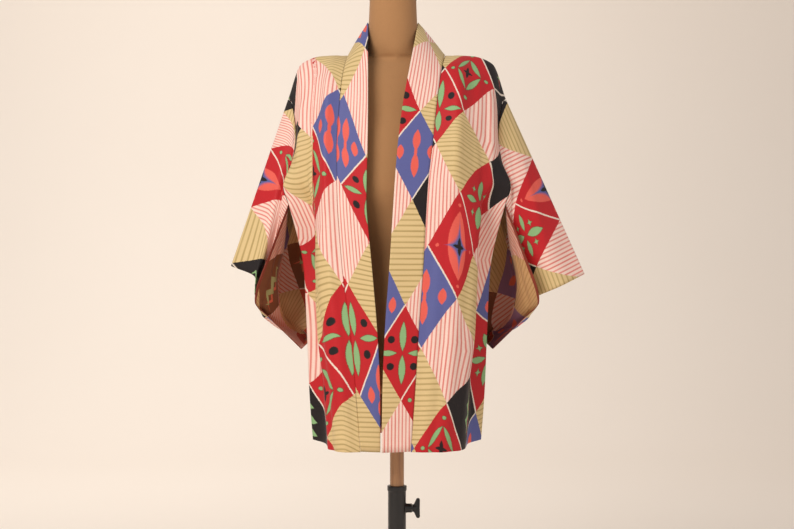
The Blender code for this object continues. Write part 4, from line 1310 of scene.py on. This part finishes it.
def printed_silk(piece, seed, reverse=False):
    """Slubbed silk with the lozenge print of one piece, seen from its face or its reverse, the reverse
    duller and with painted shade.
    """
    finish = Finish(f"{piece}_reverse" if reverse else f"{piece}_face", on_cloth=True)
    u, v, column, row, p, q = print_coordinates(finish, seed)
    kind = kind_at(finish, CHARTS[piece], column, row)
    beside = kind_at(finish, CHARTS[piece], column + p.maths("SIGN"), row + q.maths("SIGN"))
    is_kind = {k: kind.maths("COMPARE", i / len(KINDS), 0.05) for i, k in enumerate(KINDS)}

    def on_kinds(shapes):
        """Each shape on its own kind of lozenge, and -1 on the others."""
        return sum(is_kind[k] * (shape + 1) for k, shape in shapes.items()) - 1

    x, y = p * HALF_ACROSS, q * HALF_ALONG
    far_x, far_y = abs(x), abs(y)
    spread, tilt = abs(p) + abs(q), abs(p) - abs(q)
    petals = leaf(far_y, x, 0.004, 0.060, 0.0062).at_least(leaf(far_x, y, 0.011, 0.047, 0.0052))
    frame_leaf = leaf(tilt, (spread - 0.50) * EDGE_FAR, -0.46, 0.46, 0.0048)
    corner_dots = dot(far_x, y, 0.037, 0.0, 0.0036).at_least(dot(x, far_y, 0.0, 0.062, 0.0036))
    short_leaves = leaf(far_y, x, 0.006, 0.047, 0.0068).at_least(leaf(far_x, y, 0.008, 0.036, 0.0058))
    wedges = star(far_x - 0.0165, far_y - 0.022, 0.0070, 0.0085)
    bend = ((y + 0.06).wrapped(0.03) - 0.015).maths("ABSOLUTE") * 0.9
    feather = leaf(y, x + 0.004 - bend, -0.056, 0.040, 0.0068)
    greens = on_kinds({"D": petals, "F": frame_leaf.at_least(corner_dots),
                       "S": short_leaves.at_least(wedges), "K": feather})

    from_lobe = far_x - LOBE_SHIFTS.get(piece, 0.0)
    lobes = leaf(far_y, from_lobe, 0.002, 0.050, 0.0076)
    lobes = lobes.at_least(leaf(y, from_lobe, -0.016, 0.016, 0.0030))
    lobes = lobes.at_least(leaf(y, far_x - 0.030, -0.015, 0.015, 0.0072))
    flash = leaf(y, x - 0.019 + bend, -0.040, 0.046, 0.0042)
    lens = leaf(y, x, -0.060, 0.060, 0.0200)
    small_dots = dot(far_x, y, 0.038, 0.0, 0.0030).at_least(dot(x, far_y, 0.0, 0.070, 0.0028))
    corals = on_kinds({"B": lobes, "K": flash, "L": lens.at_least(small_dots)})
    blues = on_kinds({"L": star(x, y, 0.0250, 0.0480)})

    dots = dot(far_x, far_y, 0.0225, 0.026, 0.0072)
    cross = leaf(far_y, x, -0.006, 0.0165, 0.0036).at_least(leaf(far_x, y, -0.006, 0.0120, 0.0036))
    blacks = on_kinds({"D": dots, "F": cross, "L": cross})

    ground_stops = [(i / len(KINDS), GROUNDS[k]) for i, k in enumerate(KINDS)]
    colour = finish.node("ShaderNodeValToRGB", {"stops": ground_stops}, {0: kind + 0.5 / len(KINDS)})
    warp = abs((u / ROSE_PITCH).wrapped(1.0) - 0.5)
    uneven = finish.noise((160, 14, 1), 2.0)
    rose_line = (0.19 - warp).soft(0.16) * is_kind["P"] * (uneven * 0.9 + 0.45).at_most(1.0)
    colour = finish.mixed(rose_line, colour, ROSE)
    weft = abs((v / OLIVE_PITCH).wrapped(1.0) - 0.5)
    uneven = finish.noise((12, 300, 1), 2.0)
    olive_line = (0.15 - weft).soft(0.16) * is_kind["Y"] * (uneven * 0.9 + 0.25).at_most(0.9)
    colour = finish.mixed(olive_line, colour, OLIVE)
    colour = finish.mixed(corals.soft(0.0012), colour, CORAL)
    colour = finish.mixed(blues.soft(0.0014), colour, BLUE)
    colour = finish.mixed((greens + 0.0009).soft(0.0012) * 0.85, colour, DARK_GREEN)
    colour = finish.mixed(greens.soft(0.0010), colour, GREEN)
    colour = finish.mixed(blacks.soft(0.0012), colour, BLACK)
    palest_dark = (KINDS.index("B") - 0.5) / len(KINDS)
    both_dark = kind.maths("GREATER_THAN", palest_dark) * beside.maths("GREATER_THAN", palest_dark)
    edge = (1 - spread) * EDGE_FAR
    colour = finish.mixed((0.0013 - edge).soft(0.0009) * both_dark, colour, CREAM)

    threads = finish.noise((240, 1500, 1), 2.0, (seed, seed, 0))
    slubs = finish.noise((22, 620, 1), 1.0, (0, seed, 0))
    patch = finish.noise((7, 5, 1), 3.0, (seed, 0, 0))
    shade = threads * 0.16 + slubs * 0.10 + patch * 0.14
    colour = finish.mixed((shade - 0.12).at_least(0.0), colour, srgb(80, 48, 34))
    # The reverse is mixed towards ochre: partly the duller back of the silk, partly painted shade for the
    # jacket's shaded inside.
    if reverse:
        colour = finish.mixed(0.42, colour, REVERSE_DULL_AND_SHADE)
    height = threads * 0.5 + slubs * 0.7
    rough = threads * 0.18 + 0.50
    return finish.surface(colour, rough, height, bump=0.35, depth=0.0004,
                          Sheen_Weight=0.06, Sheen_Roughness=0.45, Specular_IOR_Level=0.28)


def form_linen():
    """Brown linen stretched over the form, with uneven threads both ways."""
    finish = Finish("form_linen")
    across = finish.noise((900, 90, 90), 1.0)
    along = finish.noise((90, 90, 1100), 1.0)
    broad = finish.noise((9, 9, 7), 3.0)
    weave = across * 0.5 + along * 0.5
    colour = finish.mixed(weave.soft(0.9), srgb(136, 94, 58), srgb(178, 131, 87))
    colour = finish.mixed(broad * 0.35, colour, srgb(128, 84, 50))
    return finish.surface(colour, weave * 0.15 + 0.72, weave, bump=0.5, depth=0.0005,
                          Sheen_Weight=0.15, Specular_IOR_Level=0.25)


def turned_wood():
    """Varnished wood with its grain along the pole."""
    finish = Finish("turned_wood")
    bent = finish.noise((30, 30, 3.0), 2.0)
    x, y, _ = finish.parts(finish.place())
    rings = ((x * 0.8 + y * 0.6) * 420 + bent * 7).maths("SINE") * 0.5 + 0.5
    fibres = finish.noise((1500, 1500, 24), 2.0)
    colour = finish.mixed(rings * 0.55, srgb(198, 146, 100), srgb(164, 112, 72))
    colour = finish.mixed((fibres - 0.35).at_least(0.0), colour, srgb(96, 56, 34))
    return finish.surface(colour, fibres * 0.2 + 0.30, fibres, bump=0.2, depth=0.0003, Coat_Weight=0.25,
                          Coat_Roughness=0.25)


def dark_lacquer():
    """Dark varnish on wood, rubbed paler in patches."""
    finish = Finish("dark_lacquer")
    rub = finish.noise((40, 40, 90), 3.0)
    grain = finish.noise((60, 900, 60), 2.0)
    colour = finish.mixed((rub - 0.45).at_least(0.0) * 1.2, srgb(36, 30, 30), srgb(78, 58, 48))
    return finish.surface(colour, rub * 0.25 + 0.24, grain, bump=0.12, depth=0.0003)


def black_steel():
    """Black enamel over steel, with a slight orange-peel skin and fine scratches."""
    finish = Finish("black_steel")
    peel = finish.noise((420, 420, 420), 1.0)
    scratch = finish.noise((900, 900, 14), 1.0)
    dust = finish.noise((30, 30, 24), 4.0)
    colour = finish.mixed((dust - 0.42).at_least(0.0) * 0.9, srgb(14, 10, 11), srgb(44, 34, 32))
    return finish.surface(colour, dust * 0.22 + scratch * 0.10 + 0.20, peel, bump=0.10, depth=0.0003,
                          Coat_Weight=0.2, Coat_Roughness=0.2)


def knob_plastic():
    """Black moulded plastic with a fine grain, a little worn."""
    finish = Finish("knob_plastic")
    grain = finish.noise((1300, 1300, 1300), 1.0)
    wear = finish.noise((90, 90, 90), 3.0)
    colour = finish.mixed((wear - 0.4).at_least(0.0), srgb(16, 15, 17), srgb(50, 48, 48))
    return finish.surface(colour, wear * 0.25 + 0.28, grain, bump=0.15, depth=0.0002)


def room_paint():
    """Warm white paint, slightly uneven."""
    finish = Finish("room_paint")
    patch = finish.noise((0.7, 0.7, 0.7), 3.0)
    grain = finish.noise((60, 60, 60), 3.0)
    colour = finish.mixed(patch, srgb(250, 238, 227), srgb(247, 234, 222))
    return finish.surface(colour, 0.9, grain, bump=0.08, depth=0.001)


def hem_silk():
    """The plain reddish silk of the narrow hem along a sleeve's free edge."""
    finish = Finish("hem_silk", on_cloth=True)
    threads = finish.noise((240, 1500, 1), 2.0)
    patch = finish.noise((40, 40, 1), 2.0)
    colour = finish.mixed(patch, srgb(150, 62, 40), srgb(112, 44, 34))
    return finish.surface(colour, threads * 0.2 + 0.5, threads, bump=0.3, depth=0.0004,
                          Sheen_Weight=0.12, Specular_IOR_Level=0.3)


def faced_and_reversed(piece, seed):
    """The two sides of one piece's cloth, the reverse duller and with painted shade."""
    return [printed_silk(piece, seed), printed_silk(piece, seed, reverse=True)]


def dress(made, body, node):
    """Attaches a piece to the body it rides on, and hides the imported part that it stands in for."""
    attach(made, body)
    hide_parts(node)


def make_cloth():
    """The jacket's pieces, each a sheet of cloth on the form."""
    made = {}
    hem = hem_silk()
    for seed, (word, side) in enumerate((("left", 1), ("right", -1))):
        faces = faced_and_reversed(f"front_{word}", 3.0 + seed)
        panel = make_body_length(f"{word}_body_length", side, faces)
        made[panel] = (f"body_length_{word}", (0.29, 1.62), 0.41)
        faces = faced_and_reversed(f"gusset_{word}", 9.0 + seed)
        gusset = make_gusset(f"{word}_side_gusset", side, faces)
        made[gusset] = (f"side_gusset_{word}", (0.075, 0.36), None)
        faces = faced_and_reversed(f"sleeve_{word}", 13.0 + seed) + [hem, hem]
        sleeve = make_sleeve(f"{word}_sleeve", side, faces)
        made[sleeve] = (f"sleeve_{word}", (0.33, 1.12), 0.145)
    bands = [printed_silk(f"collar_{word}", 21.0) for word in ("right", "left")]
    collar = make_collar("doubled_collar_band", bands)
    made[collar] = ("collar_band", (0.065, 1.92), None)
    for piece, (node, flat, area) in made.items():
        dress(piece, "form", node)
    return made


def make_stand():
    linen, wood, lacquer = form_linen(), turned_wood(), dark_lacquer()
    steel, plastic = black_steel(), knob_plastic()
    dress(make_form("linen_dress_form", [linen]), "form", "dress_form")
    dress(make_neck_cap("turned_neck_cap", [lacquer]), "form", "neck_cap")
    dress(make_pole("wooden_pole", [wood]), "mast", "pole")
    dress(make_tube("steel_tube", [steel]), "stand", "stand_tube")
    dress(make_knob("wing_screw", [plastic]), "clamp", "clamp_knob")
    dress(make_base("round_foot", [steel]), "stand", "stand_base")


def make_room():
    """A pale floor that sweeps up into a warm white wall far behind."""
    half, front, back, height, bend = 9.0, -7.0, 7.0, 9.0, 3.4
    profile = [(front, 0.0), (back - bend, 0.0)]
    for k in range(1, 33):
        turn = k / 32 * math.pi / 2
        profile.append((back - bend + bend * math.sin(turn), bend - bend * math.cos(turn)))
    profile.append((back, height))
    points = [(x, y, z - 0.0004) for x in (-half, half) for y, z in profile]
    count = len(profile)
    corners = [[(k, 0, k), (count + k, 1, k), (count + k + 1, 1, k + 1), (k + 1, 0, k + 1)]
               for k in range(count - 1)]
    mesh_object("floor_and_wall", points, corners, [room_paint()])


def add_area_light(name, place, target, size, power, colour):
    lamp = bpy.data.lights.new(name, "AREA")
    lamp.shape, lamp.size, lamp.energy, lamp.color = "SQUARE", size, power, colour
    made = bpy.data.objects.new(name, lamp)
    made.location = place
    made.rotation_euler = (Vector(target) - Vector(place)).to_track_quat("-Z", "Y").to_euler()
    bpy.context.scene.collection.objects.link(made)


def light_the_room():
    """Soft daylight from a large window in front and to the left, with a gentle fill."""
    add_area_light("window", (-2.1, -3.0, 3.0), (0, 0, 1.0), 2.0, 118, (1.0, 0.97, 0.92))
    add_area_light("fill", (3.2, -2.4, 1.6), (0, 0, 1.0), 3.0, 24, (1.0, 0.97, 0.95))
    add_area_light("wall_wash", (-1.5, 2.0, 3.8), (-0.8, 7.0, 1.8), 2.4, 116, (1.0, 0.99, 0.95))
    world = bpy.data.worlds.new("soft_daylight")
    world.use_nodes = True
    sky = world.node_tree.nodes["Background"]
    sky.inputs["Color"].default_value = (1.0, 0.97, 0.94, 1.0)
    sky.inputs["Strength"].default_value = 0.40
    bpy.context.scene.world = world


def set_camera():
    """Level, straight in front: 2 mm of the form's middle plane to a pixel of a 794 x 529 picture."""
    far, middle_height, picture_width, metres_per_pixel, sensor = 2.6, 0.95, 794, 0.002, 36.0
    camera = bpy.data.cameras.new("camera")
    camera.sensor_width = sensor
    camera.lens = sensor * far / (picture_width * metres_per_pixel)
    made = bpy.data.objects.new("camera", camera)
    made.location = (0.0, -far, middle_height)
    made.rotation_euler = (math.pi / 2, 0.0, 0.0)
    bpy.context.scene.collection.objects.link(made)
    bpy.context.scene.camera = made
    bpy.context.scene.view_settings.view_transform = "Standard"


set_camera()
make_cloth()
make_stand()
make_room()
light_the_room()
